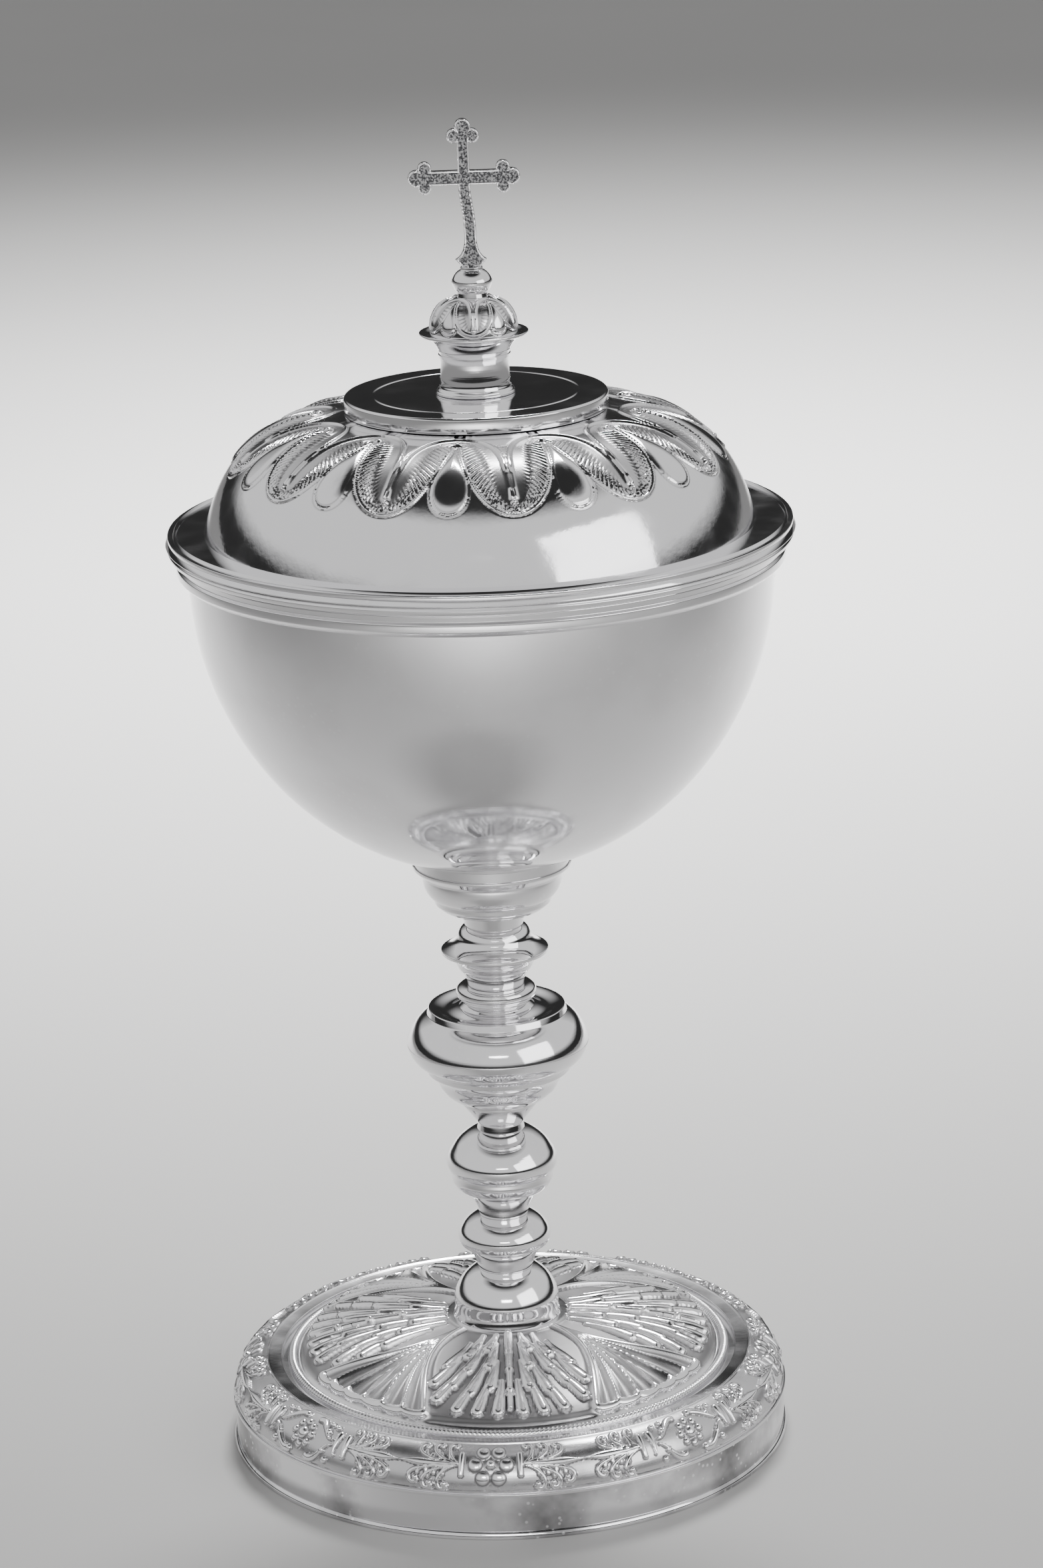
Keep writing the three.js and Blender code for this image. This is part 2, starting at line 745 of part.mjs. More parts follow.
function edgeMoulding() {
  const inner = edgeRadius - edgeWidth;
  const outline = outlineFrom(inner, 0).to([edgeFootRadius, 0], [edgeRadius - edgeReedInset, edgeReedRise]);
  outline.to([edgeRadius - edgeGrooveInset, edgeGrooveRise], [edgeRadius, edgeRollRise]);
  outline.to([edgeFootRadius, edgeHeight], [inner, edgeHeight]);
  return turned(outline.getPoints(1), wideSides);
}

function beadWire() {
  const outline = outlineFrom(beadRadius - beadWidth / 2, 0);
  outline.to([beadRadius + beadWidth / 2, 0], [beadRadius, beadHeight]);
  return turned(outline.getPoints(1), wideSides);
}

// The dome and its flange, one raised sheet with the band of palmettes chased into it
function lidDome() {
  const outside = outlineFrom(crownRadius, lidWall + lidDomeHeight).to([coveRadius, lidWall + coveRise]);
  outside.bezierCurveTo(lidCrownRadius, lidWall + lidCrownRise, lidShoulderRadius, lidWall + lidShoulderRise,
    lidFootRadius, lidWall);
  const foot = outside.getLength() - lidPalmetteMargin;
  const rises = { border: lidBorderRise, leaf: lidLeafDepth, drop: lidDropRise };
  const band = { count: lidPalmettes, turn: lidPalmetteTurn, arch: lidArchInset, foot, rows: lidReliefRows,
    rises };
  const start = lidPalmetteTurn - 180 / lidPalmettes;
  const below = outlineFrom(lidFootRadius, lidWall).to([flangeRadius, lidWall], [flangeRadius, 0]);
  below.to([lidFootRadius - lidWall, 0]);
  below.bezierCurveTo(lidShoulderRadius - lidWall, lidShoulderRise, lidCrownRadius - lidWall, lidCrownRise,
    coveRadius - lidWall, coveRise);
  below.to([crownRadius - lidWall, lidDomeHeight], [screwBore, lidDomeHeight]);
  below.to([screwBore, lidWall + lidDomeHeight], [crownRadius, lidWall + lidDomeHeight]);
  const plain = risen(outside, (foot + outside.getLength()) / 2, 0);
  const rest = plainRings([plain, ...distinct(below.getPoints(curveSteps))], lidSides, start);
  return skin([...palmetteRings(outside, band), ...rest].reverse());
}

// A flat cap with an incised ring
function topPlate() {
  const outline = outlineFrom(screwBore, plateHeight).to([incisedRadius - incisedWidth / 2, plateHeight],
    [incisedRadius, plateHeight - incisedDepth], [incisedRadius + incisedWidth / 2, plateHeight],
    [plateRadius - plateEdge, plateHeight], [plateRadius, plateHeight - plateEdge], [plateRadius, 0],
    [plateRadius - plateSide, 0], [plateRadius - plateSide, plateHeight - plateWall],
    [screwBore, plateHeight - plateWall]);
  return turned(outline.getPoints(1), wideSides);
}

// Finial

function finialPiece(outside, height) {
  outside.to([screwBore, height], [screwBore, 0]);
  return turned(outside.getPoints(curveSteps), slimSides);
}

function finialNeck() {
  const outside = outlineFrom(screwBore, 0).to([finialNeckFoot, 0], [finialNeckFoot, finialNeckFootRise]);
  outside.cove(finialNeckWaist, finialNeckWaistRise, full);
  outside.to([finialNeckTop, finialNeckHeight]);
  return finialPiece(outside, finialNeckHeight);
}

function saucer() {
  const outside = outlineFrom(screwBore, 0).to([finialNeckTop, 0]);
  outside.cove(saucerRadius, saucerLipRise, gentle);
  outside.to([saucerRadius, saucerHeight], [saucerRadius - saucerLipWidth, saucerHeight]);
  outside.to([saucerDishRadius, saucerDishRise]);
  return finialPiece(outside, saucerDishRise);
}

function petalCap() {
  const side = outlineFrom(capRadius, capSideRise).swell(capTopRadius, capHeight, plump);
  const outside = new Outline(side.getPoints(longCurveSteps).reverse());
  const foot = outside.getLength() - capPalmetteMargin;
  const rises = { border: capBorderRise, leaf: capLeafDepth, drop: capDropRise };
  const band = { count: capPalmettes, turn: capPalmetteTurn, arch: capArchInset, foot, rows: capReliefRows,
    rises };
  const start = capPalmetteTurn - 180 / capPalmettes;
  const below = outlineFrom(capRadius, capSideRise).to([capRadius, 0], [screwBore, 0]);
  below.to([screwBore, capHeight], [capTopRadius, capHeight]);
  const rest = plainRings(below.getPoints(1), capSides, start);
  return skin([...palmetteRings(outside, band), ...rest].reverse());
}

// The ball holds the screw's end below and the cross's tang above
function ball() {
  const grip = screwRadius + threadGap;
  const socket = Math.hypot(tangWidth, crossThickness) / 2 + socketGap;
  const socketFloor = ballHeight - tangLength - socketGap;
  const outline = outlineFrom(0, screwGrip).to([grip, screwGrip], [grip, 0]);
  outline.to([ballNeck + ballFootReach, 0], [ballNeck, ballNeckRise]);
  outline.swell(ballRadius, ballRise, gentle);
  outline.swell(ballCollar, ballCollarRise, gentle);
  outline.to([ballCollar, ballHeight], [socket, ballHeight], [socket, socketFloor], [0, socketFloor]);
  return turned(outline.getPoints(curveSteps), slimSides);
}

// Cross

function toSolid(geometry) {
  const bare = geometry.clone();
  bare.deleteAttribute('normal');
  bare.deleteAttribute('uv');
  const welded = mergeVertices(bare);
  return new wasm.Manifold(new wasm.Mesh({
    numProp: 3,
    vertProperties: new Float32Array(welded.attributes.position.array),
    triVerts: new Uint32Array(welded.index.array),
  }));
}

function toGeometry(solid) {
  const { vertProperties, triVerts, numProp } = solid.getMesh();
  const geometry = new THREE.BufferGeometry();
  geometry.setAttribute('position', new THREE.BufferAttribute(vertProperties, numProp));
  geometry.setIndex(new THREE.BufferAttribute(triVerts, 1));
  geometry.computeVertexNormals();
  return geometry;
}

function slab(shape, thickness) {
  const settings = { depth: thickness, bevelEnabled: false, curveSegments: curveSteps };
  const geometry = new THREE.ExtrudeGeometry(shape, settings);
  geometry.translate(0, 0, -thickness / 2);
  geometry.rotateX(Math.PI / 2);
  return toSolid(geometry);
}

// The upright: a waisted foot, then a shaft that leans a little to one side as it rises
function crossShaft(inset, thickness, top) {
  const foot = crossFootWidth / 2 - inset;
  const half = crossShaftWidth / 2 - inset;
  const shape = new THREE.Shape();
  shape.moveTo(-crossBaseWidth / 2 + inset, inset);
  shape.lineTo(crossBaseWidth / 2 - inset, inset);
  shape.lineTo(foot, crossFootRise);
  shape.quadraticCurveTo(half, crossFootRise + inset, half, crossFlareRise);
  shape.quadraticCurveTo(half, (crossFlareRise + crossBarRise) / 2, half - crossLean, crossBarRise);
  shape.lineTo(half - crossLean, top);
  shape.lineTo(-half - crossLean, top);
  shape.lineTo(-half - crossLean, crossBarRise);
  shape.quadraticCurveTo(-half, (crossFlareRise + crossBarRise) / 2, -half, crossFlareRise);
  shape.quadraticCurveTo(-half, crossFootRise + inset, -foot, crossFootRise);
  return slab(shape, thickness);
}

function lobe(radius, x, height, thickness) {
  const geometry = new THREE.CylinderGeometry(radius, radius, thickness, lobeSides);
  geometry.translate(x, 0, height);
  return toSolid(geometry);
}

// Three lobes at the end of an arm that points along the unit vector (alongX, alongZ)
function budded(solid, tipX, tipZ, alongX, alongZ, inset, thickness) {
  const reach = endLobeRadius;
  const end = lobe(endLobeRadius - inset, tipX - alongX * reach, tipZ - alongZ * reach, thickness);
  const back = reach + sideLobeBack;
  const sides = [-sideLobeOut, sideLobeOut].map((out) => lobe(sideLobeRadius - inset,
    tipX - alongX * back + alongZ * out, tipZ - alongZ * back + alongX * out, thickness));
  return solid.add(end).add(sides[0]).add(sides[1]);
}

function crossPlate(inset, thickness) {
  const bar = new THREE.BoxGeometry(crossSpan - 2 * endLobeRadius, thickness, crossBarWidth - 2 * inset);
  bar.translate(-crossLean, 0, crossBarRise);
  let solid = crossShaft(inset, thickness, crossHeight - endLobeRadius).add(toSolid(bar));
  solid = budded(solid, -crossLean, crossHeight, 0, 1, inset, thickness);
  solid = budded(solid, -crossLean - crossSpan / 2, crossBarRise, -1, 0, inset, thickness);
  return budded(solid, -crossLean + crossSpan / 2, crossBarRise, 1, 0, inset, thickness);
}

// A flat budded cross with a raised border round a sunk face, front and back, and a tang below
function finialCross() {
  const tang = new THREE.BoxGeometry(tangWidth, crossThickness, tangLength + crossFootRise);
  tang.translate(0, 0, (crossFootRise - tangLength) / 2);
  const field = crossPlate(crossBorder, 2 * crossRecess);
  const faces = [-1, 1].map((side) => field.translate([0, side * crossThickness / 2, 0]));
  return toGeometry(crossPlate(0, crossThickness).subtract(faces[0]).subtract(faces[1]).add(toSolid(tang)));
}

// The whole piece: the foot, stem and cup stand, and the lid lifts straight off

const part = new THREE.Group();
const foot = new THREE.Group();
const stem = new THREE.Group();
const cup = new THREE.Group();
const lid = new THREE.Group();
part.add(foot, stem, cup, lid);

const skirtInside = skirtRadius - skirtWall;
const filletRadius = skirtRadius + filletReach;
addPiece(foot, 'foot_base_ring', baseRing(), polished, 0);
const skirt = ring(skirtInside, skirtRadius, skirtHeight, wideSides);
const fillet = ring(skirtInside, filletRadius, filletHeight, wideSides);
addPiece(foot, 'foot_skirt', skirt, polished, skirtSeat);
addPiece(foot, 'skirt_top_fillet', fillet, polished, filletSeat);
addPiece(foot, 'foot_border', border(), chased, borderSeat);
addPiece(foot, 'foot_dome', footDome(), chased, footDomeSeat);
addPiece(foot, 'foot_milled_ring', milledRing(), chased, milledSeat);

const bossSeat = bowlSeat - bossLength;
const footWasherSeat = bellSeat - domeWall - footWasherThickness;
const footNutSeat = footWasherSeat - footNutHeight;
const rodSeat = footNutSeat - rodTail;
const footWasher = ring(rodBore, footWasherRadius, footWasherThickness, slimSides);
addPiece(stem, 'foot_washer', footWasher, brass, footWasherSeat);
addPiece(stem, 'foot_nut', hexNut(footNutAcross, footNutHeight, rodRadius + threadGap), brass, footNutSeat);
addPiece(stem, 'tie_rod', rod(rodRadius, bossSeat + rodGrip - rodSeat), brass, rodSeat);
addPiece(stem, 'stem_base_bell', baseBell(), polished, bellSeat);
addPiece(stem, 'lower_stem_knop', lowerKnop(), polished, lowerKnopSeat);
addPiece(stem, 'middle_stem_knop', middleKnop(), polished, middleKnopSeat);
addPiece(stem, 'stem_collar', stemCollar(), polished, collarSeat);
addPiece(stem, 'main_knop_lower_shell', mainKnopLower(), polished, mainLowerSeat);
addPiece(stem, 'main_knop_upper_shell', mainKnopUpper(), polished, mainUpperSeat);
addPiece(stem, 'ring_knop', ringKnop(), polished, ringKnopSeat);
addPiece(stem, 'upper_stem_knop', upperKnop(), polished, upperKnopSeat);
addPiece(stem, 'cup_calyx', calyx(), polished, calyxSeat);

addPiece(cup, 'cup_boss', cupBoss(), brass, bossSeat);
addPiece(cup, 'cup_bowl', bowl(), polished, bowlSeat);
addPiece(cup, 'cup_rim_moulding', rimMoulding(), polished, rimSeat);

const finialWasherSeat = plateSeat - lidWall - finialWasherThickness;
const finialNutSeat = finialWasherSeat - finialNutHeight;
const screwSeat = finialNutSeat - screwTail;
const bezelSeat = edgeSeat - bezelDrop;
addPiece(lid, 'lid_edge_moulding', edgeMoulding(), polished, edgeSeat);
const bezel = ring(bezelRadius - bezelWall, bezelRadius, flangeSeat - bezelSeat, wideSides);
addPiece(lid, 'lid_bezel', bezel, polished, bezelSeat);
addPiece(lid, 'lid_dome', lidDome(), polished, flangeSeat);
addPiece(lid, 'lid_bead_wire', beadWire(), polished, flangeTop);
addPiece(lid, 'lid_top_plate', topPlate(), polished, plateSeat);
addPiece(lid, 'finial_neck', finialNeck(), polished, finialNeckSeat);
addPiece(lid, 'finial_saucer', saucer(), polished, saucerSeat);
addPiece(lid, 'finial_petal_cap', petalCap(), chased, capSeat);
addPiece(lid, 'finial_ball', ball(), polished, ballSeat);
addPiece(lid, 'finial_cross', finialCross(), chased, crossSeat);
addPiece(lid, 'finial_screw', rod(screwRadius, ballSeat + screwGrip - screwSeat), brass, screwSeat);
const finialWasher = ring(screwBore, finialWasherRadius, finialWasherThickness, slimSides);
addPiece(lid, 'finial_washer', finialWasher, brass, finialWasherSeat);
const finialNut = hexNut(finialNutAcross, finialNutHeight, screwRadius + threadGap);
addPiece(lid, 'finial_nut', finialNut, brass, finialNutSeat);

export default part;
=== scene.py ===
# Looks of the ciborium: smooth turned silver with chased palmettes, a frieze and a repousse foot,
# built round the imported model. Metres, +Z up, in the model's own frame.

import json
import math

import bpy
import numpy as np
from mathutils import Matrix, Vector, noise


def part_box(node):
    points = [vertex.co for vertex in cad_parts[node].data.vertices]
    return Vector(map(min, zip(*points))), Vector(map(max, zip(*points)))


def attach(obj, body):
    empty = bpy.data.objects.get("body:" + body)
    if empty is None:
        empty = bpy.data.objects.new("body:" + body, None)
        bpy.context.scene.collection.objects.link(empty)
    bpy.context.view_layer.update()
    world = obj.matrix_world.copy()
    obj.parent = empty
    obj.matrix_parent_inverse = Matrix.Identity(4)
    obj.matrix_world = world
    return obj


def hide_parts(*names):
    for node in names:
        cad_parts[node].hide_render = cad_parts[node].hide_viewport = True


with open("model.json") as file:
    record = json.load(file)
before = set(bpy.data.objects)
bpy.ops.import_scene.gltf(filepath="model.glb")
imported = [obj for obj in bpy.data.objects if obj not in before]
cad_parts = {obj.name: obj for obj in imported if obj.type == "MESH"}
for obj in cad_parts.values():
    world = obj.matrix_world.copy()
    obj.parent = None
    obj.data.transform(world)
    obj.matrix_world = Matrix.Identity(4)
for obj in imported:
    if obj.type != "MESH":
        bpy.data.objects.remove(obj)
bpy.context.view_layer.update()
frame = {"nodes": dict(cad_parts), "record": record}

MM = 0.001

# Fineness of the meshes
WIDE_SIDES = 288
SLIM_SIDES = 144
WIDE_RADIUS = 25 * MM
PLAIN_EVERY = 4
CURVE_STEPS = 8
ROUND_STEPS = 3
CORNER_ANGLE = math.radians(37)
EDGE_ROUNDING = 0.16 * MM
EDGE_MOST = 0.4
STRAIGHT_COSINE = 0.9999
WELD = 1e-6
TINY = 1e-12

# The camera, fitted to the photograph
CAMERA_DISTANCE = 1.0117
CAMERA_HEIGHT = 0.449
CAMERA_SIDE = -0.0004
CAMERA_PITCH = math.radians(16.271)
CAMERA_ROLL = math.radians(-1.846)
CAMERA_YAW = math.radians(0.431)
CAMERA_LENS = 108.49
CAMERA_CLIP = (0.05, 60)
SENSOR_HEIGHT = 36

# The surround, by the sine of the height and the share of the way straight back at which it fades
SURROUND_BRIGHT = 0.85
SURROUND_DARK = 0.03
SURROUND_FOOT = (0.13, 0.25)
SURROUND_HEAD = (0.78, 0.9)
SURROUND_BACK = (0.7, 0.94)

# The soft lights: name, place, target, width, height, brightness and spread; and the floor
LIGHTS = [("back", (0.1, 0.9, 1.3), (0.05, 0.9, 0), 0.5, 0.4, 44, math.radians(84)),
          ("front", (0, -1.45, 0.85), (0, -1.2, 0), 0.6, 0.35, 24, math.radians(90)),
          ("window", (1.2, -0.9, 0.85), (0, 0, 0.2), 1.3, 0.9, 2.6, math.pi)]
FLOOR_SIZE = 30
FLOOR_COLOURS = ((0.4, 0.397, 0.393), (0.43, 0.427, 0.423))
FLOOR_PATCHES = (3, 2)
FLOOR_ROUGHNESS = 0.6

# The lid's dome above its flange, from its foot to the cove under the plate
DOME_CURVE = np.array([(60.6, 0), (56.5, 15.5), (48.5, 23.7), (31, 24.9)]) * MM
DOME_RISE = 25.5 * MM
DOME_CROWN_RADIUS = 28.2 * MM
DOME_STEPS = 90

# The palmette: its lines are drawn across, from its middle to its side, and down, from arch to lobe
ARCH = [(0, 0), (0.6, 0), (0.93, 0.2), (0.95, 0.55)]
ARCH_END = (0.97, 0.88)
LOBE = [(0.06, 0.23), (0.2, 0.55), (0.33, 1), (1, 1)]
DROP_SIDE = [(0.033, 0.29), (0.133, 0.55), (0.307, 0.65), (0.3, 0.83)]
DROP_FOOT = [(0.3, 0.83), (0.293, 0.94), (0.167, 0.99), (0, 0.99)]
PALMETTE_BEADS = [((0, 0.15), 1), ((1, 0.92), 0.7)]
BEAD_HEIGHT = 0.75
HALF_OVERLAP = 0.01
LINE_STEPS = 40

# The palmette's relief, in widths of its border or as shares of the way from its lobe line to its arch
FLOOR_LIMITS = (0.6, 2.6)
BARB_TAPER = 0.6
BARB_TAPER_LIMITS = (0.1, 0.75)
BARB_START = (1, 2.1)
BARB_END = (0.35, 0.72)
DROP_RIM = 0.45
DROP_RIM_HALF = 0.8
DROP_RIM_CLEAR = 0.3
DROP_EDGE = 0.1
INCISED_OFF = 1.5
INCISED_HALF = 0.4
INCISED_DEPTH = 0.3
HOLLOW_NEAR = 0.6
HOLLOW_SHARES = (1, 0.55)
HOLLOW_LEAF = 0.75
HOLLOW_INCISED = 0.5

# The palmettes of the lid
LID_MOTIFS = 12
LID_TURN = math.radians(-7.1)
LID_ARCH_RADIUS = 31.2 * MM
LID_LOBE_RADIUS = 54.6 * MM
LID_LIMITS = (-0.07, 1.07)
LID_HALF_COLUMNS = 48
LID_ROW_STEP = 0.2 * MM
LID_CHASING = {"border": 0.36 * MM, "rise": 0.3 * MM, "leaf": 0.22 * MM, "drop": 0.6 * MM, "round": 2.6 * MM,
               "barb": 0.42 * MM, "pitch": 1.28 * MM, "slant": 0.75, "bead": 0.95 * MM}

# The petals of the finial's cap, whose side runs up from its foot; slopes are seen from the foot's centre
CAP_CURVE = np.array([(9.6, 0.6), (9.2, 5), (7.2, 7.5), (3.5, 8)]) * MM
CAP_STEPS = 60
CAP_LIMITS = (-0.06, 1.08)
CAP_MOTIFS = 5
CAP_TURN = math.radians(36)
CAP_ARCH_SLOPE = math.radians(64)
CAP_LOBE_SLOPE = math.radians(7)
CAP_HALF_COLUMNS = 32
CAP_ROW_STEP = 0.13 * MM
CAP_CHASING = {"border": 0.3 * MM, "rise": 0.26 * MM, "leaf": 0.2 * MM, "drop": 0.5 * MM, "round": 1.2 * MM,
               "barb": 0, "pitch": 1 * MM, "slant": 0, "bead": 0.5 * MM}

# The foot's dome above its bell's seat, chased with four acanthus leaves and a fan between each two
FOOT_CURVE = np.array([(46.5, -6.4), (38, -2.1), (24, -0.4), (12.5, 0)]) * MM
FOOT_EDGE = (48.8 * MM, -8.7 * MM)
FOOT_STEPS = 120
FOOT_WORK = (13.5 * MM, 48.3 * MM)
FOOT_FADE = 1 * MM
FOOT_MOTIFS = 4
FOOT_HALF_COLUMNS = 108
FOOT_ROW_STEP = 0.3 * MM
FOOT_SINK = 0.35 * MM
FOOT_TARNISH = 0.8
LEAF_SPINE = [(0, 15 * MM), (0, 44 * MM)]
LEAF_SPINE_WIDTHS = (1.1 * MM, 0.7 * MM)
LEAF_TIPS = np.array([(4.4, 21.4), (9, 24.2), (4.4, 29), (9.2, 30), (14, 28), (12.8, 35), (16.8, 33.4),
                      (4.4, 37), (8.8, 38.2), (16.4, 39), (2.8, 44.8), (7.4, 44.2), (12, 43)]) * MM
LEAF_FIRST_ROOT = 14.5 * MM
LEAF_FINGER_LENGTH = 10 * MM
LEAF_FINGER_DRAW = 0.62
LEAF_FINGER_WIDTHS = (0.9 * MM, 1.55 * MM)
LEAF_FINGER_START = 0.42
FINGER_OPENING = 0.1
FINGER_FIRST = 0.4
FINGER_NEAR = 0.85
FINGER_LAST = 0.3
LEAF_TIP_BEAD = 1.5 * MM
LEAF_TIP_RISE = 1.15 * MM
LEAF_RISE = 1.1 * MM
FOOT_HOLLOW_LIMITS = (0.05 * LEAF_RISE, 0.5 * LEAF_RISE)
LEAF_BEADS = (24 * MM, 31.5 * MM, 39 * MM)
LEAF_BEAD_RADIUS = 1.1 * MM
LEAF_BEAD_RISE = 1.6 * MM
FAN_ROOT = 14 * MM
FAN_PARTING = 28 * MM
FAN_REACH = 46.2 * MM
FAN_SPREAD = math.radians(20.5)
FAN_RIBS = 3
FAN_BEND = (0.5, 0.8)
FAN_RIB_WIDTHS = (0.45 * MM, 0.5 * MM)
FAN_EDGE_WIDTHS = (0.7 * MM, 1 * MM)
FAN_FLUTE_WIDTHS = (0.6 * MM, 2.9 * MM)
FAN_RISE = 0.85 * MM
FAN_LIP = 1.1 * MM
FAN_LIP_SHARE = 1.2

# The border's frieze, drawn on its unrolled surface: across from a rosette to the fruit, up from the middle
FRIEZE_TURN = math.radians(-4.5)
FRIEZE_LENGTH = 47.9 * MM
FRIEZE_MIDDLE = 6.4 * MM
FRIEZE_MARGIN = 1 * MM
FRIEZE_HALF_COLUMNS = 288
FRIEZE_ROW_STEP = 0.17 * MM
FRIEZE_RISE = 0.9 * MM
FRIEZE_OUTLINE = 0.85
FRIEZE_OUTLINE_START = (0.02, 0.3)
FRIEZE_OUTLINE_END = (0.42, 0.66)
FRIEZE_GROUND = 0.34
FRIEZE_RIM_HALF = 0.35 * MM
FRIEZE_RIM_SHARE = 0.3
FRIEZE_RIB_WIDTHS = (0.35 * MM, 0.62 * MM)
FRIEZE_RIB_SHARE = 0.8
FRIEZE_INNER_RIBS = (0.8, 0.6)
FRIEZE_INNER_SHARE = 0.7
FRIEZE_BAR = 6.5 * MM
FRIEZE_BAR_HALF = 2.3 * MM
FRIEZE_BAR_WIDTHS = (0.75 * MM, 0.75 * MM)
FRIEZE_BEAD_BACK = 0.3 * MM
FRIEZE_BEAD_RADIUS = 0.75 * MM
FRIEZE_SPINE_WIDTHS = (0.4 * MM, 1.05 * MM, 0.3 * MM)
FRIEZE_TIP_LENGTH = 5 * MM
FRIEZE_FAN_ROOT = 7.4 * MM
FRIEZE_TIP = 20.6 * MM
FRIEZE_HEADS = np.array([(8.2, 4), (11.6, 4), (15, 3.6), (10.4, -4.4), (13.7, -4.3), (16.8, -3.4)]) * MM
HOOK_RISES = (0.3 * MM, 0.5 * MM)
HOOK_RIB = np.array([(1.3, -2.4), (1.25, -0.3)]) * MM
HOOK_CURL = np.array([(1.25, -0.3), (1.2, 0.9), (-0.2, 1.4), (-0.7, 0.5)]) * MM

# The rosettes: how many petals, their distance and radius, and the heart's radius
ROSETTE = (6, 3.45 * MM, 1.75 * MM, 1.15 * MM)
FRUIT_ROSETTE = (8, 2.7 * MM, 1 * MM, 1.5 * MM)
HEART_SHARE = 1.2
PETAL_SHARE = 0.8
FRUIT_BEADS = np.array([(8.4, -4, 0.9), (8.8, 3.8, 0.8), (7, 2.2, 0.85), (6.6, 4.2, 0.75),
                        (7.2, -2.2, 0.8)]) * MM
FRUIT_LEAVES = np.array([[(9, -0.5), (7, -1), (6, -5.5), (3, -4.6)], [(9, 0.8), (7, 0), (5, 5), (2.6, 4.4)],
                         [(10.6, -2.4), (10.4, -1), (10.4, 1), (10.6, 2.4)]]) * MM
FRUIT_LEAF_WIDTHS = (0.4 * MM, 0.95 * MM)
FRUIT_LEAF_SHARE = 0.9

# The weight of height against radius where a section's top corner is looked for
HEIGHT_FIRST = 100

# The seat on the calyx's disc
SEAT_MARGIN = 0.3 * MM
SEAT_RISE = 2.2 * MM
SEAT_WALL = 0.7 * MM
SEAT_INNER = 9 * MM
SEAT_INNER_RISE = 0.5 * MM

# The cross above its seat: an upright with a waisted foot, a bar, and three lobes at the end of each arm
CROSS_HEIGHT = 32 * MM
CROSS_SPAN = 24.2 * MM
CROSS_BAR_RISE = 19.4 * MM
CROSS_BAR_HALF = 1.5 * MM
CROSS_SHAFT_HALF = 1.3 * MM
CROSS_FLARE_RISE = 6.5 * MM
CROSS_FOOT = [(1 * MM, -2.5 * MM), (1 * MM, 0), (2 * MM, 0)]
CROSS_FLARE = [(3.35 * MM, 1.6 * MM), (1.9 * MM, 2.2 * MM), (CROSS_SHAFT_HALF, 4.2 * MM),
               (CROSS_SHAFT_HALF, CROSS_FLARE_RISE)]
CROSS_LEAN = 1 * MM
END_LOBE = 1.75 * MM
SIDE_LOBE = 1.5 * MM
SIDE_LOBE_OUT = 2 * MM
SIDE_LOBE_BACK = 1.9 * MM
CROSS_STEPS = 14
CROSS_GRID = 0.12 * MM
CROSS_EDGE = 0.16 * MM
CROSS_BORDER = 0.42 * MM
CROSS_RECESS = 0.3 * MM
CROSS_GRAIN = 0.24 * MM
CROSS_GRAIN_DEPTH = 0.07 * MM

# The fine rings of the finial's neck
NECK_OUTSIDE = 7 * MM
NECK_RINGS_RISE = 2.4 * MM
NECK_RING_PITCH = 0.7 * MM
NECK_RING_DEPTH = 0.22 * MM
NECK_STEP_DROP = 1.3 * MM
NECK_ROW_STEP = 0.1 * MM

# The milled ring between the dome and the border
ROPE_PITCH = 1 * MM
ROPE_STRAND_STEPS = 5
ROPE_ROWS = 9
ROPE_SLANT = 1.4
ROPE_DEPTH = 0.4
ROPE_SIDE = 0.5
ROPE_TARNISH = 0.3

# The plain silver: colours, noise as (scale, detail), limits in the noise, bumps as (strength, depth).
# A stain has its colour, scale and limits, and clear drops in it; the dark mottle of the skirt and base ring
# has the same parts and is painted dark reflection.
SILVER = (0.9, 0.895, 0.91)
POLISHED_STAIN = ((0.8, 0.792, 0.8), 45, (0.45, 0.75))
# Painted dark reflections: a dark mottle on the skirt and base ring that stands in for dark reflections, not
# for wear.
PAINTED_DARK_REFLECTIONS = ((0.22, 0.2178, 0.22), 34, (0.47, 0.63))
STAIN_DETAIL = 5
DROP_SCALE = 480
DROP_LIMITS = (0.12, 0.22)
SMEARS = (90, 5)
SMEAR_LIMITS = (0.35, 0.8)
PLAIN_ROUGHNESS = (0.045, 0.15)
WAVES = (28, 1)
WAVE_BUMP = (0.35, 0.6 * MM)
TURNING_LINES = (60, 3, (0.4, 0.4, 60))
TURNING_BUMP = (0.05, 0.1 * MM)

# The chased silver
CHASED_SILVER = (0.89, 0.885, 0.9)
TARNISH = (0.16, 0.1568, 0.16)
TARNISH_ROUGHNESS = 0.3
CHASED_ROUGHNESS = (0.07, 0.2)
BEATEN_ROUGHNESS = (0.12, 0.26)
CHASED_SMEARS = (120, 5)
CHASED_GRAIN = (420, 3)
CHASED_BUMP = (0.12, 0.2 * MM)

# The cast silver of the cross
CAST_SILVER = (0.92, 0.915, 0.925)
CAST_TARNISH = (0.1, 0.1, 0.105)
CAST_FACING = (0.5, 0.7)
CAST_SUNK = (CROSS_RECESS / 3, CROSS_RECESS / 2)
CAST_GRAIN = (2400, 2)
CAST_GRAIN_LIMITS = (0.42, 0.6)
CAST_GRAIN_TARNISH = (1, 0.45)
CAST_ROUGHNESS = (0.12, 0.42)
CAST_BUMP = (0.8, 0.4 * MM)

# The brass of the nuts, screws and rod
BRASS = (0.7, 0.52, 0.26)
DULL_BRASS = (0.45, 0.31, 0.15)
BRASS_PATCHES = (160, 4)
BRASS_LIMITS = (0.4, 0.7)
BRASS_SMEARS = (300, 4)
BRASS_ROUGHNESS = (0.25, 0.45)
BRASS_LINES = (500, 3, (1, 1, 8))
BRASS_BUMP = (0.1, 0.2 * MM)

frame_slots = {part["node"]: part["material_slot"] for part in frame["record"]["subparts"]}
node_body = {node: body for body, nodes in frame["record"]["behaviour"]["bodies"].items() for node in nodes}


# Sections of the turned pieces, read from the frame


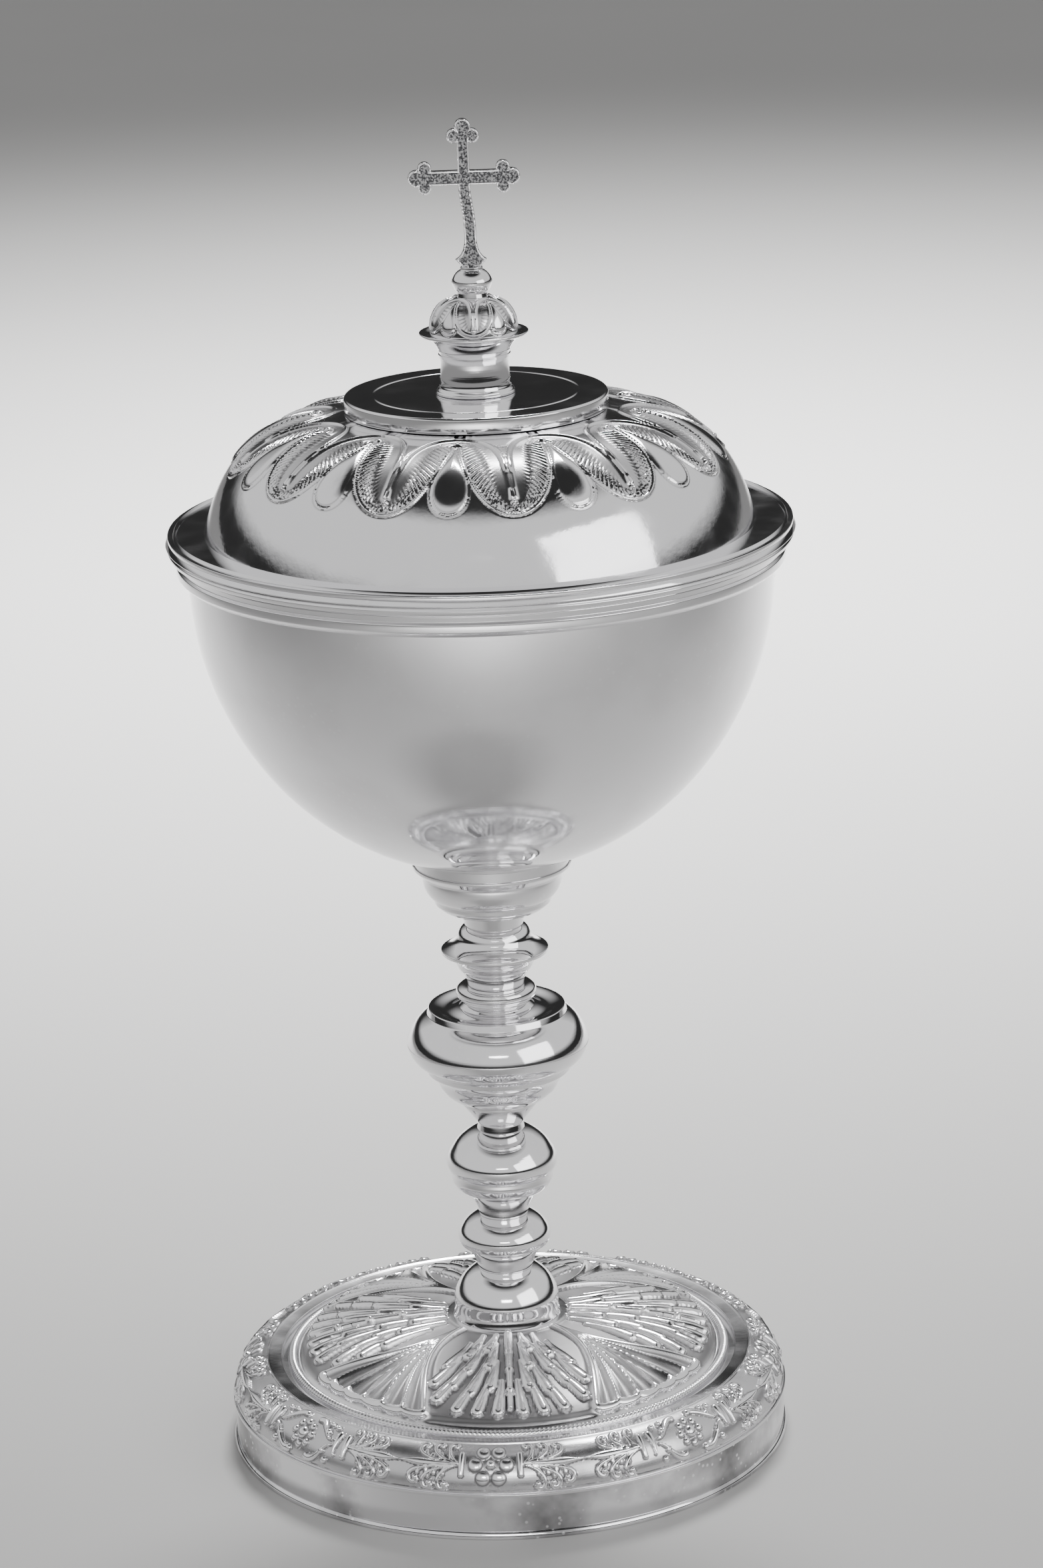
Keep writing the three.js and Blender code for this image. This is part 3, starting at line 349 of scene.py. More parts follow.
def section(node, turn=0):
    """The node's section, read on the half plane at an angle from -Y: its (radius, height) points in order,
    and whether they close."""
    mesh = frame["nodes"][node].data
    out = Vector((math.sin(turn), -math.cos(turn), 0))
    side = Vector((math.cos(turn), math.sin(turn), 0))
    places = []
    for point in mesh.vertices:
        radius = point.co.dot(out)
        on_plane = abs(point.co.dot(side)) < WELD and radius > -WELD
        places.append((round(radius / WELD), round(point.co.z / WELD)) if on_plane else None)
    links = {}
    for face in mesh.polygons:
        keys = [places[index] for index in face.vertices]
        for start, end in zip(keys, keys[1:] + keys[:1]):
            if start and end and start != end and (start[0] or end[0]):
                links.setdefault(start, set()).add(end)
                links.setdefault(end, set()).add(start)
    ends = sorted(key for key, others in links.items() if len(others) == 1)
    walk = [ends[0] if ends else min(links)]
    while True:
        ahead = [key for key in sorted(links[walk[-1]]) if key not in walk]
        if not ahead:
            break
        walk.append(ahead[0])
    points = np.array(walk, float) * WELD
    area = np.sum(points[:, 0] * np.roll(points[:, 1], -1) - np.roll(points[:, 0], -1) * points[:, 1])
    return points[::-1] if area < 0 else points, not ends


def unit(vectors):
    return vectors / np.maximum(np.linalg.norm(vectors, axis=-1, keepdims=True), TINY)


def mirrored(tangent, way):
    return 2 * np.dot(tangent, way) * way - tangent


def curved_spans(points, closed):
    """The outline's spans, bent where its steps stand for a curve, and which of its points are no corners."""
    count = len(points)
    chords = np.roll(points, -1, axis=0) - points
    lengths = np.maximum(np.linalg.norm(chords, axis=1), TINY)
    ways = unit(chords)
    before = np.roll(ways, 1, axis=0)
    flowing = np.arccos(np.clip(np.sum(before * ways, axis=1), -1, 1)) < CORNER_ANGLE
    if not closed:
        flowing[0] = flowing[-1] = False
    share = np.roll(lengths, 1) / (np.roll(lengths, 1) + lengths)
    tangents = unit(before * (1 - share)[:, None] + ways * share[:, None])
    spans = []
    for start in range(count if closed else count - 1):
        end = (start + 1) % count
        way, length = ways[start], lengths[start]
        out = tangents[start] if flowing[start] else None
        into = tangents[end] if flowing[end] else None
        if out is None:
            out = way if into is None else mirrored(into, way)
        if into is None:
            into = mirrored(out, way) if flowing[start] else way
        cut = min(EDGE_ROUNDING / length, EDGE_MOST)
        first = 0 if flowing[start] or (not closed and start == 0) else cut
        last = 1 if flowing[end] or (not closed and end == count - 1) else 1 - cut
        bent = min(np.dot(out, way), np.dot(into, way)) < STRAIGHT_COSINE
        t = np.linspace(first, last, CURVE_STEPS + 1 if bent else 2)[:, None]
        spans.append(points[start] * (2 * t ** 3 - 3 * t ** 2 + 1) + out * length * (t ** 3 - 2 * t ** 2 + t)
                     + points[end] * (3 * t ** 2 - 2 * t ** 3) + into * length * (t ** 3 - t ** 2))
    return spans, flowing


def softened(points, closed):
    """The outline with its stepped curves made smooth again and its corners slightly rounded."""
    spans, flowing = curved_spans(points, closed)
    count = len(points)
    rows = []
    for index, span in enumerate(spans):
        rows.extend(span if index == 0 else span[1:] if flowing[index % count] else span)
        corner = (index + 1) % count
        if flowing[corner] or (not closed and corner == count - 1):
            continue
        after = spans[(index + 1) % len(spans)][0]
        for step in range(1, ROUND_STEPS):
            t = step / ROUND_STEPS
            rows.append(span[-1] * (1 - t) ** 2 + points[corner] * 2 * t * (1 - t) + after * t ** 2)
    outline = np.array(rows)
    if closed and np.linalg.norm(outline[0] - outline[-1]) < WELD:
        outline = outline[:-1]
    return outline


# Meshes


def make_object(name, vertices, faces):
    mesh = bpy.data.meshes.new(name)
    mesh.from_pydata(vertices, [], faces)
    mesh.validate()
    piece = bpy.data.objects.new(name, mesh)
    bpy.context.scene.collection.objects.link(piece)
    mesh.shade_smooth()
    mesh.set_sharp_from_angle(angle=CORNER_ANGLE)
    return piece


def outline_normals(outline, closed):
    ways = np.roll(outline, -1, axis=0) - np.roll(outline, 1, axis=0)
    if not closed:
        ways[0] = outline[1] - outline[0]
        ways[-1] = outline[-1] - outline[-2]
    ways = unit(ways)
    return np.stack([ways[:, 1], -ways[:, 0]], axis=-1)


def ring(radius, height, angles):
    """A ring of points round the axis; radius and height may differ from angle to angle."""
    height = np.broadcast_to(height, angles.shape)
    return np.stack([radius * np.sin(angles), -radius * np.cos(angles), height], axis=-1)


def faces_between(first, second):
    """Faces between two rings of point numbers, the one with fewer points taking several of the other's."""
    sides = min(len(first), len(second))
    if sides == 1:
        sides = max(len(first), len(second))
    faces = []
    for side in range(sides):
        face = []
        for numbers, way in ((first, 1), (second, -1)):
            step = len(numbers) // sides
            part = numbers
            if step:
                part = [numbers[(side * step + index) % len(numbers)] for index in range(step + 1)]
            face.extend(part[::way])
        faces.append(face)
    return faces


def skinned(name, rings, closed, hollows=None):
    """One mesh through rings of points. A ring of one point closes the end on the axis."""
    starts = np.cumsum([0] + [len(points) for points in rings])
    numbers = [list(range(start, end)) for start, end in zip(starts[:-1], starts[1:])]
    followers = numbers[1:] + numbers[:1] if closed else numbers[1:]
    faces = []
    for first, second in zip(numbers, followers):
        faces.extend(faces_between(first, second))
    piece = make_object(name, np.concatenate(rings).tolist(), faces)
    if hollows is not None:
        attribute = piece.data.attributes.new("hollow", "FLOAT", "POINT")
        attribute.data.foreach_set("value", np.concatenate(hollows).astype(np.float32))
    return piece


def ring_angles(sides):
    return np.arange(sides) * 2 * math.pi / sides


def stand_for(piece, node, material):
    piece.data.materials.append(material)
    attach(piece, node_body[node])
    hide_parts(node)


def plain_rings(outline, angles):
    return [ring(radius, height, angles if radius > WELD else angles[:1]) for radius, height in outline]


def calyx_with_seat(outline):
    """The calyx's outline with a shallow seat on its disc, in which the round bottom of the bowl rests."""
    rim = int(np.argmax(outline[:, 0] + outline[:, 1]))
    radius, top = outline[rim] - [SEAT_MARGIN, 0]
    seat = np.array([(radius, top), (radius, top + SEAT_RISE), (radius - SEAT_WALL, top + SEAT_RISE),
                     (SEAT_INNER, top + SEAT_INNER_RISE), (SEAT_INNER, top)])
    return np.vstack([outline[:rim + 1], seat, outline[rim + 1:]])


def neck_with_rings(outline):
    """The neck's outline with fine rings on its foot and a step under the saucer."""
    low, high = outline[:, 1].min(), outline[:, 1].max()
    radius, height = outline.T
    from_foot = height - low
    foot = smooth(-from_foot, -NECK_RINGS_RISE, 0) * (radius > NECK_OUTSIDE)
    ripples = np.abs(np.sin(math.pi * from_foot / NECK_RING_PITCH))
    step = (np.abs(height - high + NECK_STEP_DROP) < NECK_RING_PITCH / 2) & (radius > NECK_OUTSIDE)
    return np.stack([radius + (foot * (ripples - 1) + step) * NECK_RING_DEPTH, height], axis=-1)


def turned_piece(node, sides, material):
    points, closed = section(node)
    outline = softened(points, closed)
    if node == "cup_calyx":
        outline = calyx_with_seat(outline)
    if node == "finial_neck":
        outline = resampled(np.vstack([outline, outline[:1]]), NECK_ROW_STEP)[:-1]
        outline = neck_with_rings(outline)
    piece = skinned(node + "_turned", plain_rings(outline, ring_angles(sides)), closed)
    stand_for(piece, node, material)


# Lines and ridges


def bezier(curve, steps=LINE_STEPS):
    t = np.linspace(0, 1, steps)[:, None]
    start, first, second, end = np.array(curve, float)
    return start * (1 - t) ** 3 + 3 * first * t * (1 - t) ** 2 + 3 * second * t ** 2 * (1 - t) + end * t ** 3


def to_line(points, line):
    """How far each point is from a line, and how far along the line its nearest place is."""
    steps = np.diff(line, axis=0)
    lengths = np.maximum(np.linalg.norm(steps, axis=1), TINY)
    leads = points[:, None] - line[:-1]
    shares = np.clip(np.sum(leads * steps, axis=2) / lengths ** 2, 0, 1)
    gaps = np.linalg.norm(leads - shares[..., None] * steps, axis=2)
    nearest = np.argmin(gaps, axis=1)
    row = np.arange(len(points))
    done = np.concatenate([[0], np.cumsum(lengths)])[nearest] + shares[row, nearest] * lengths[nearest]
    return gaps[row, nearest], done


def inside(polygon, across, down):
    held = np.zeros(across.shape, bool)
    for (x1, y1), (x2, y2) in zip(polygon, np.roll(polygon, -1, axis=0)):
        crosses = (y1 > down) != (y2 > down)
        slope = (x2 - x1) / (y2 - y1) if y1 != y2 else 0
        held ^= crosses & (across < slope * (down - y1) + x1)
    return held


def smooth(values, low, high):
    t = np.clip((values - low) / (high - low), 0, 1)
    return t * t * (3 - 2 * t)


def between(values, low, high):
    return (values > low) & (values < high)


def distances(line):
    """How far along a line each of its points lies."""
    return np.concatenate([[0], np.cumsum(np.linalg.norm(np.diff(line, axis=0), axis=1))])


def wire(gap, half_width):
    """A rounded ridge along a line."""
    return np.sqrt(np.clip(1 - (gap / half_width) ** 2, 0, 1))


# The palmette


def with_beads(points, place, height, raised, chasing):
    """The relief with its beads, and what of it is raised out of the tarnish."""
    for (across, down), size in PALMETTE_BEADS:
        centre = place(np.array([across]), np.array([down]))
        gap = np.linalg.norm(points - centre, axis=1)
        rise = wire(gap, chasing["bead"] * size) * chasing["bead"] * BEAD_HEIGHT
        height = np.maximum(height, rise - chasing["leaf"])
        raised = np.maximum(raised, smooth(rise, 0, chasing["leaf"]))
    return height, raised


def palmette(place, across, down, chasing):
    """Height of the chased palmette above the plain surface, and how deep in tarnish each point lies."""
    arch_line = np.vstack([bezier(ARCH), [ARCH_END]])
    lobe_line = bezier(LOBE)
    drop_line = np.vstack([bezier(DROP_SIDE), bezier(DROP_FOOT)[1:]])
    points = place(across, down)
    border = chasing["border"]
    arch_gap = to_line(points, place(*arch_line.T))[0]
    lobe_gap, along = to_line(points, place(*lobe_line.T))
    drop_gap = to_line(points, place(*drop_line.T))[0]
    before, after = -HALF_OVERLAP, 1 + HALF_OVERLAP
    leaf_side, leaf_middle = [(after, ARCH_END[1]), (after, 1)], [(before, LOBE[0][1]), (before, 0)]
    in_leaf = inside(np.vstack([arch_line, leaf_side, lobe_line[::-1], leaf_middle]), across, down)
    drop_middle = [(before, DROP_FOOT[-1][1]), (before, DROP_SIDE[0][1])]
    in_drop = inside(np.vstack([drop_line, drop_middle]), across, down)

    sunk = smooth(np.minimum(arch_gap, lobe_gap) / border, *FLOOR_LIMITS) * in_leaf
    height = -chasing["leaf"] * sunk
    share = lobe_gap / np.maximum(lobe_gap + arch_gap, TINY)
    phase = (along + chasing["slant"] * lobe_gap) / chasing["pitch"]
    from_crest = 2 * np.abs(phase - np.round(phase))
    width = 1 - BARB_TAPER * smooth(share, *BARB_TAPER_LIMITS)
    stretch = smooth(lobe_gap / border, *BARB_START) * (1 - smooth(share, *BARB_END)) * in_leaf
    barb = wire(from_crest, width) * stretch
    height += chasing["barb"] * barb
    height += chasing["drop"] * np.sqrt(1 - (1 - np.clip(drop_gap / chasing["round"], 0, 1)) ** 2) * in_drop
    line = np.maximum(wire(arch_gap, border), wire(lobe_gap, border))
    drop_rim = DROP_RIM * wire(drop_gap - border, border * DROP_RIM_HALF) * ~in_drop
    drop_rim *= 1 - smooth(line, 0, DROP_RIM_CLEAR)
    height = height * (1 - line) + chasing["rise"] * np.maximum(line, drop_rim)
    edge_gap = np.minimum(np.minimum(arch_gap, lobe_gap), np.abs(drop_gap - border * DROP_EDGE))
    incised = np.exp(-((edge_gap / border - INCISED_OFF) / INCISED_HALF) ** 2)
    height -= INCISED_DEPTH * chasing["rise"] * incised * ~in_leaf * ~in_drop

    height, raised = with_beads(points, place, height, barb, chasing)
    in_barbs = sunk * (1 - np.clip(raised, 0, 1)) * np.where(share < HOLLOW_NEAR, *HOLLOW_SHARES)
    outside = HOLLOW_INCISED * incised * ~in_leaf * (1 - line)
    return height, np.clip(HOLLOW_LEAF * in_barbs + outside, 0, 1)


def palmettes(share_down, motifs, chasing):
    """A relief of palmettes, each half of it drawn between a palmette's middle and its side."""

    def relief(band, half_columns):
        downs = share_down(band)
        order = np.argsort(downs)

        def place(across, down):
            radius = np.interp(down, downs[order], band[order, 0])
            height = np.interp(down, downs[order], band[order, 1])
            return ring(radius, height, across * math.pi / motifs)

        across, down = np.meshgrid(np.linspace(0, 1, half_columns + 1), downs)
        height, hollow = palmette(place, across.ravel(), down.ravel(), chasing)
        return height.reshape(down.shape), hollow.reshape(down.shape)

    return relief


# Chased pieces


def resampled(outline, step):
    """The same outline with points a fixed step apart."""
    lengths = distances(outline)
    places = np.linspace(0, lengths[-1], max(int(lengths[-1] / step), 2))
    return np.stack([np.interp(places, lengths, outline[:, axis]) for axis in (0, 1)], axis=-1)


def nearest_row(outline, point):
    return int(np.argmin(np.linalg.norm(outline - np.array(point), axis=1)))


def chased_piece(node, curve, worked, motifs, turn, half_columns, row_step, relief, material, seam=None):
    """A turned node whose top follows the curve, with a relief where it is worked: half a motif of it is
    worked out, mirrored and repeated round the axis. The rest of the node is read at the seam."""
    half_angle = math.pi / motifs
    loop = section(node, turn - half_angle if seam is None else seam)[0]
    first, last = nearest_row(loop, curve[0]), nearest_row(loop, curve[-1])
    around = np.roll(loop, -last, axis=0)
    rest = softened(around[:(first - last) % len(loop) + 1], False)[1:-1]
    start, end = np.flatnonzero(worked)[[0, -1]]
    band = resampled(curve[start:end + 1], row_step)
    columns = np.abs(np.arange(-half_columns, half_columns))
    height, hollow = [np.tile(part[:, columns], motifs) for part in relief(band, half_columns)]
    angles = turn - half_angle + np.arange(2 * half_columns * motifs) * half_angle / half_columns
    normals = outline_normals(band, False)
    rings = [ring(radius + normal[0] * push, level + normal[1] * push, angles)
             for (radius, level), normal, push in zip(band, normals, height)]
    few = angles[::PLAIN_EVERY]
    below = plain_rings(curve[:start], few)
    above = plain_rings(np.vstack([curve[end + 1:], rest]), few)
    bare = [[np.zeros(len(points)) for points in part] for part in (below, above)]
    piece = skinned(node + "_chased", below + rings + above, True, bare[0] + list(hollow) + bare[1])
    stand_for(piece, node, material)


def lid_dome(material):
    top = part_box("lid_dome")[1][2]
    curve = bezier(DOME_CURVE, DOME_STEPS) + [0, top - DOME_RISE]
    curve = np.vstack([curve, [DOME_CROWN_RADIUS, top]])

    def share_down(outline):
        return (outline[:, 0] - LID_ARCH_RADIUS) / (LID_LOBE_RADIUS - LID_ARCH_RADIUS)

    worked = between(share_down(curve), *LID_LIMITS)
    chased_piece("lid_dome", curve, worked, LID_MOTIFS, LID_TURN, LID_HALF_COLUMNS, LID_ROW_STEP,
                 palmettes(share_down, LID_MOTIFS, LID_CHASING), material)


def petal_cap(material):
    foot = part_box("finial_petal_cap")[0][2]
    curve = bezier(CAP_CURVE, CAP_STEPS) + [0, foot]

    def share_down(outline):
        slope = np.arctan2(outline[:, 1] - foot, outline[:, 0])
        return (CAP_ARCH_SLOPE - slope) / (CAP_ARCH_SLOPE - CAP_LOBE_SLOPE)

    worked = between(share_down(curve), *CAP_LIMITS)
    chased_piece("finial_petal_cap", curve, worked, CAP_MOTIFS, CAP_TURN, CAP_HALF_COLUMNS, CAP_ROW_STEP,
                 palmettes(share_down, CAP_MOTIFS, CAP_CHASING), material)


# The cross


def upright():
    """The outline of the cross's upright, which leans to one side as it rises."""
    sides = []
    for way in (1, -1):
        start = (way * CROSS_SHAFT_HALF, CROSS_FLARE_RISE)
        end = (way * CROSS_SHAFT_HALF - CROSS_LEAN, CROSS_BAR_RISE)
        middle = (CROSS_FLARE_RISE + CROSS_BAR_RISE) / 2
        bend = bezier([start, (start[0], middle), (end[0], middle), end], CROSS_STEPS)
        top = (end[0], CROSS_HEIGHT - END_LOBE)
        sides.append(np.vstack([np.array(CROSS_FOOT) * [way, 1], bezier(CROSS_FLARE, CROSS_STEPS) * [way, 1],
                                bend[1:], [top]]))
    return np.vstack([sides[0], sides[1][::-1]])


def cross_depth(points):
    """How deep each (across, height) point lies inside the cross's outline, less than nothing outside it."""
    outline = upright()
    gap = to_line(points, np.vstack([outline, outline[:1]]))[0]
    depth = np.where(inside(outline, *points.T), gap, -gap)
    across, height = points.T
    bar = np.minimum(CROSS_BAR_HALF - np.abs(height - CROSS_BAR_RISE),
                     CROSS_SPAN / 2 - END_LOBE - np.abs(across + CROSS_LEAN))
    depth = np.maximum(depth, bar)
    for tip, way in (((0, CROSS_HEIGHT), (0, 1)), ((-CROSS_SPAN / 2, CROSS_BAR_RISE), (-1, 0)),
                     ((CROSS_SPAN / 2, CROSS_BAR_RISE), (1, 0))):
        tip, way = np.array(tip) - [CROSS_LEAN, 0], np.array(way)
        back = tip - way * (END_LOBE + SIDE_LOBE_BACK)
        lobes = [(tip - way * END_LOBE, END_LOBE)]
        lobes += [(back + side * SIDE_LOBE_OUT * way[::-1], SIDE_LOBE) for side in (-1, 1)]
        for centre, radius in lobes:
            depth = np.maximum(depth, radius - np.linalg.norm(points - centre, axis=1))
    return depth


def cross_face_rise(depth, points):
    """How far the cross's face stands off its middle plane: a rounded border round a sunk, grained field."""
    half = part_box("finial_cross")[1][1]
    edge = 1 - np.clip(depth / CROSS_EDGE, 0, 1)
    field = smooth(depth, CROSS_BORDER - CROSS_EDGE / 2, CROSS_BORDER + CROSS_EDGE / 2)
    grain = np.array([noise.noise(Vector((*point, 0)) / CROSS_GRAIN) for point in points])
    recess = CROSS_RECESS + CROSS_GRAIN_DEPTH * grain
    return half - CROSS_EDGE * (1 - np.sqrt(1 - edge ** 2)) - field * recess


def cross_plate():
    """One face of the cross on a fine grid: its points, those near the outline drawn onto it, how deep
    inside the outline they lie, and the faces between them."""
    reach, rise = CROSS_SPAN / 2 + CROSS_LEAN, CROSS_FOOT[0][1]
    across, height = np.meshgrid(np.arange(-reach, reach, CROSS_GRID),
                                 np.arange(rise, CROSS_HEIGHT + CROSS_GRID, CROSS_GRID), indexing="ij")
    points = np.stack([across.ravel(), height.ravel()], axis=-1)
    depth = cross_depth(points).reshape(across.shape)
    slopes = np.stack(np.gradient(depth, CROSS_GRID), axis=-1).reshape(-1, 2)
    depth = depth.ravel()
    near = np.abs(depth) < CROSS_GRID / 2
    points[near] -= depth[near, None] * unit(slopes[near])
    depth[near] = 0
    kept = (depth >= 0).reshape(across.shape)
    numbers = np.arange(depth.size).reshape(across.shape)
    faces = []
    for row, column in np.argwhere(kept[:-1, :-1] | kept[1:, 1:]):
        corners = [(row, column), (row + 1, column), (row + 1, column + 1), (row, column + 1)]
        face = [int(numbers[corner]) for corner in corners if kept[corner]]
        if len(face) > 2:
            faces.append(face)
    used = sorted({number for face in faces for number in face})
    places = {number: index for index, number in enumerate(used)}
    return points[used], depth[used], [[places[number] for number in face] for face in faces]


def open_edges(faces):
    """The edges that belong to one face only, each in the order in which its face runs."""
    edges = set()
    for face in faces:
        for start, end in zip(face, face[1:] + face[:1]):
            edges ^= {(start, end)} if (end, start) not in edges else {(end, start)}
    return sorted(edges)


def cross(material):
    """The cross as two faces back to back with a side wall between them."""
    points, depth, faces = cross_plate()
    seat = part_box("finial_cross")[1][2] - CROSS_HEIGHT
    front = np.stack([points[:, 0], -cross_face_rise(depth, points), points[:, 1] + seat], axis=-1)
    count = len(points)
    back = [[number + count for number in face[::-1]] for face in faces]
    sides = [[end, start, start + count, end + count] for start, end in open_edges(faces)]
    vertices = np.vstack([front, front * [1, -1, 1]]).tolist()
    piece = make_object("finial_cross_cast", vertices, faces + back + sides)
    stand_for(piece, "finial_cross", material)


# The foot's relief, built up from strokes and beads on the flat map of its surface


def stroke(points, line, widths, rise, form=wire):
    """A ridge along a line, whose half width goes from one value to the other along it."""
    gap, done = to_line(points, line)
    length = np.sum(np.linalg.norm(np.diff(line, axis=0), axis=1))
    return rise * form(gap, widths[0] + (widths[1] - widths[0]) * smooth(done, 0, length))


def flute(gap, half_width):
    """A sharp crest between two hollow flutes."""
    return np.clip(1 - gap / half_width, 0, 1) ** 2


def bead(points, centre, radius, rise):
    return rise * wire(np.linalg.norm(points - np.array(centre), axis=1), radius)


def finger(points, tip):
    """A finger of the leaf: it runs out nearly straight, widens and rises to its round tip."""
    across, out = tip
    root = max(out - LEAF_FINGER_LENGTH, LEAF_FIRST_ROOT)
    rise = out - root
    line = bezier([(LEAF_FINGER_DRAW * across, root),
                   ((LEAF_FINGER_DRAW + FINGER_OPENING) * across, root + FINGER_FIRST * rise),
                   (FINGER_NEAR * across, out - FINGER_LAST * rise), tip])
    gap, done = to_line(points, line)
    share = smooth(done, 0, rise)
    first, last = LEAF_FINGER_WIDTHS
    swell = LEAF_FINGER_START + (1 - LEAF_FINGER_START) * share
    height = LEAF_RISE * swell * wire(gap, first + (last - first) * share)
    return np.maximum(height, bead(points, tip, LEAF_TIP_BEAD, LEAF_TIP_RISE))


def acanthus(points):
    """One side of an acanthus leaf along the map's middle line, its fingers in overlapping rows."""
    ridges = [stroke(points, np.array(LEAF_SPINE), LEAF_SPINE_WIDTHS, LEAF_RISE)]
    ridges += [finger(points, tip) for tip in LEAF_TIPS]
    ridges += [bead(points, (0, out), LEAF_BEAD_RADIUS, LEAF_BEAD_RISE) for out in LEAF_BEADS]
    return np.max(ridges, axis=0)


def shell(points):
    """One side of a fan of thin ribs with hollow flutes between them and a scalloped lip at their ends."""
    leans = [FAN_SPREAD * number / FAN_RIBS for number in range(FAN_RIBS + 1)]
    tips = [np.array([FAN_REACH * math.sin(lean), FAN_REACH * math.cos(lean)]) for lean in leans]
    ridges = []
    for number, tip in enumerate(tips):
        line = bezier([(0, FAN_ROOT), (0, FAN_PARTING), tip * FAN_BEND, tip])
        widths = FAN_EDGE_WIDTHS if number == FAN_RIBS else FAN_RIB_WIDTHS
        ridges.append(stroke(points, line, widths, FAN_RISE))
        ridges.append(stroke(points, line, FAN_FLUTE_WIDTHS, FAN_RISE, flute))
    for first, second in zip([tips[1] * [-1, 1]] + tips, tips):
        out = (first + second) / np.linalg.norm(first + second) * FAN_LIP
        lip = bezier([first, first + out, second + out, second])
        ridges.append(stroke(points, lip, FAN_EDGE_WIDTHS, FAN_RISE * FAN_LIP_SHARE))
    return np.max(ridges, axis=0)


def flat_map(radius, angle):
    return np.stack([radius * np.sin(angle), radius * np.cos(angle)], axis=-1).reshape(-1, 2)


def foot_leaves(band, half_columns):
    """The relief of an eighth of the foot's dome, from the middle of a leaf to the middle of a fan."""
    angle, radius = np.meshgrid(np.linspace(0, math.pi / FOOT_MOTIFS, half_columns + 1), band[:, 0])
    from_fan = math.pi / FOOT_MOTIFS - angle
    height = np.maximum(acanthus(flat_map(radius, angle)), shell(flat_map(radius, from_fan)))
    height = height.reshape(radius.shape)
    start, end = FOOT_WORK
    fade = smooth(radius, start, start + FOOT_FADE) * (1 - smooth(radius, end - FOOT_FADE, end))
    hollow = (1 - smooth(height, *FOOT_HOLLOW_LIMITS)) * fade
    return (height - FOOT_SINK * hollow) * fade, FOOT_TARNISH * hollow


def foot_dome(material):
    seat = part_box("stem_base_bell")[0][2]
    curve = np.vstack([[FOOT_EDGE], bezier(FOOT_CURVE, FOOT_STEPS)]) + [0, seat]
    curve = resampled(curve, FOOT_ROW_STEP)
    worked = between(curve[:, 0], *FOOT_WORK)
    chased_piece("foot_dome", curve, worked, FOOT_MOTIFS, 0, FOOT_HALF_COLUMNS, FOOT_ROW_STEP, foot_leaves,
                 material, 0)


def hook(head, way, reach=1):
    """A rib of the frieze's fans, which curls back over the bead at its end."""
    across, up = FRIEZE_FAN_ROOT + (head[0] - FRIEZE_FAN_ROOT) * reach, abs(head[1]) * reach
    end = np.array([across, up])
    rib = bezier([(FRIEZE_FAN_ROOT, HOOK_RISES[0]), ((across + FRIEZE_FAN_ROOT) / 2, HOOK_RISES[1]),
                  *(end + HOOK_RIB)])
    return np.vstack([rib, bezier(end + HOOK_CURL)[1:]]) * [1, way]


def frieze_fan(points):
    """A fan between a bar and the point where it meets the next one."""
    bar = np.array([(FRIEZE_BAR, -FRIEZE_BAR_HALF), (FRIEZE_BAR, FRIEZE_BAR_HALF)])
    ridges = [stroke(points, bar, FRIEZE_BAR_WIDTHS, FRIEZE_RISE)]
    for head in FRIEZE_HEADS:
        way = math.copysign(1, head[1])
        ridges.append(stroke(points, hook(head, way), FRIEZE_RIB_WIDTHS, FRIEZE_RISE * FRIEZE_RIB_SHARE))
        for reach in FRIEZE_INNER_RIBS:
            inner = hook(head, way, reach)[:LINE_STEPS]
            ridges.append(stroke(points, inner, FRIEZE_RIB_WIDTHS, FRIEZE_RISE * FRIEZE_INNER_SHARE))
        ridges.append(bead(points, (head[0] - FRIEZE_BEAD_BACK, head[1]), FRIEZE_BEAD_RADIUS, FRIEZE_RISE))
    stops = (FRIEZE_FAN_ROOT, FRIEZE_TIP - FRIEZE_TIP_LENGTH, FRIEZE_TIP)
    for first in (0, 1):
        line = np.array([(stop, 0) for stop in stops[first:first + 2]])
        ridges.append(stroke(points, line, FRIEZE_SPINE_WIDTHS[first:first + 2], FRIEZE_RISE))
    return np.max(ridges, axis=0)


def rosette(points, petals, distance, petal_radius, heart_radius):
    ridges = [bead(points, (0, 0), heart_radius, FRIEZE_RISE * HEART_SHARE)]
    for angle in ring_angles(petals):
        centre = (distance * math.cos(angle), distance * math.sin(angle))
        ridges.append(bead(points, centre, petal_radius, FRIEZE_RISE * PETAL_SHARE))
    return np.max(ridges, axis=0)


def fruit(points):
    """The bunch of flowers and fruit between two bars, one side of it."""
    ridges = [rosette(points, *FRUIT_ROSETTE)]
    ridges += [bead(points, (across, up), radius, FRIEZE_RISE) for across, up, radius in FRUIT_BEADS]
    ridges += [stroke(points, bezier(curve), FRUIT_LEAF_WIDTHS, FRIEZE_RISE * FRUIT_LEAF_SHARE)
               for curve in FRUIT_LEAVES]
    return np.max(ridges, axis=0)


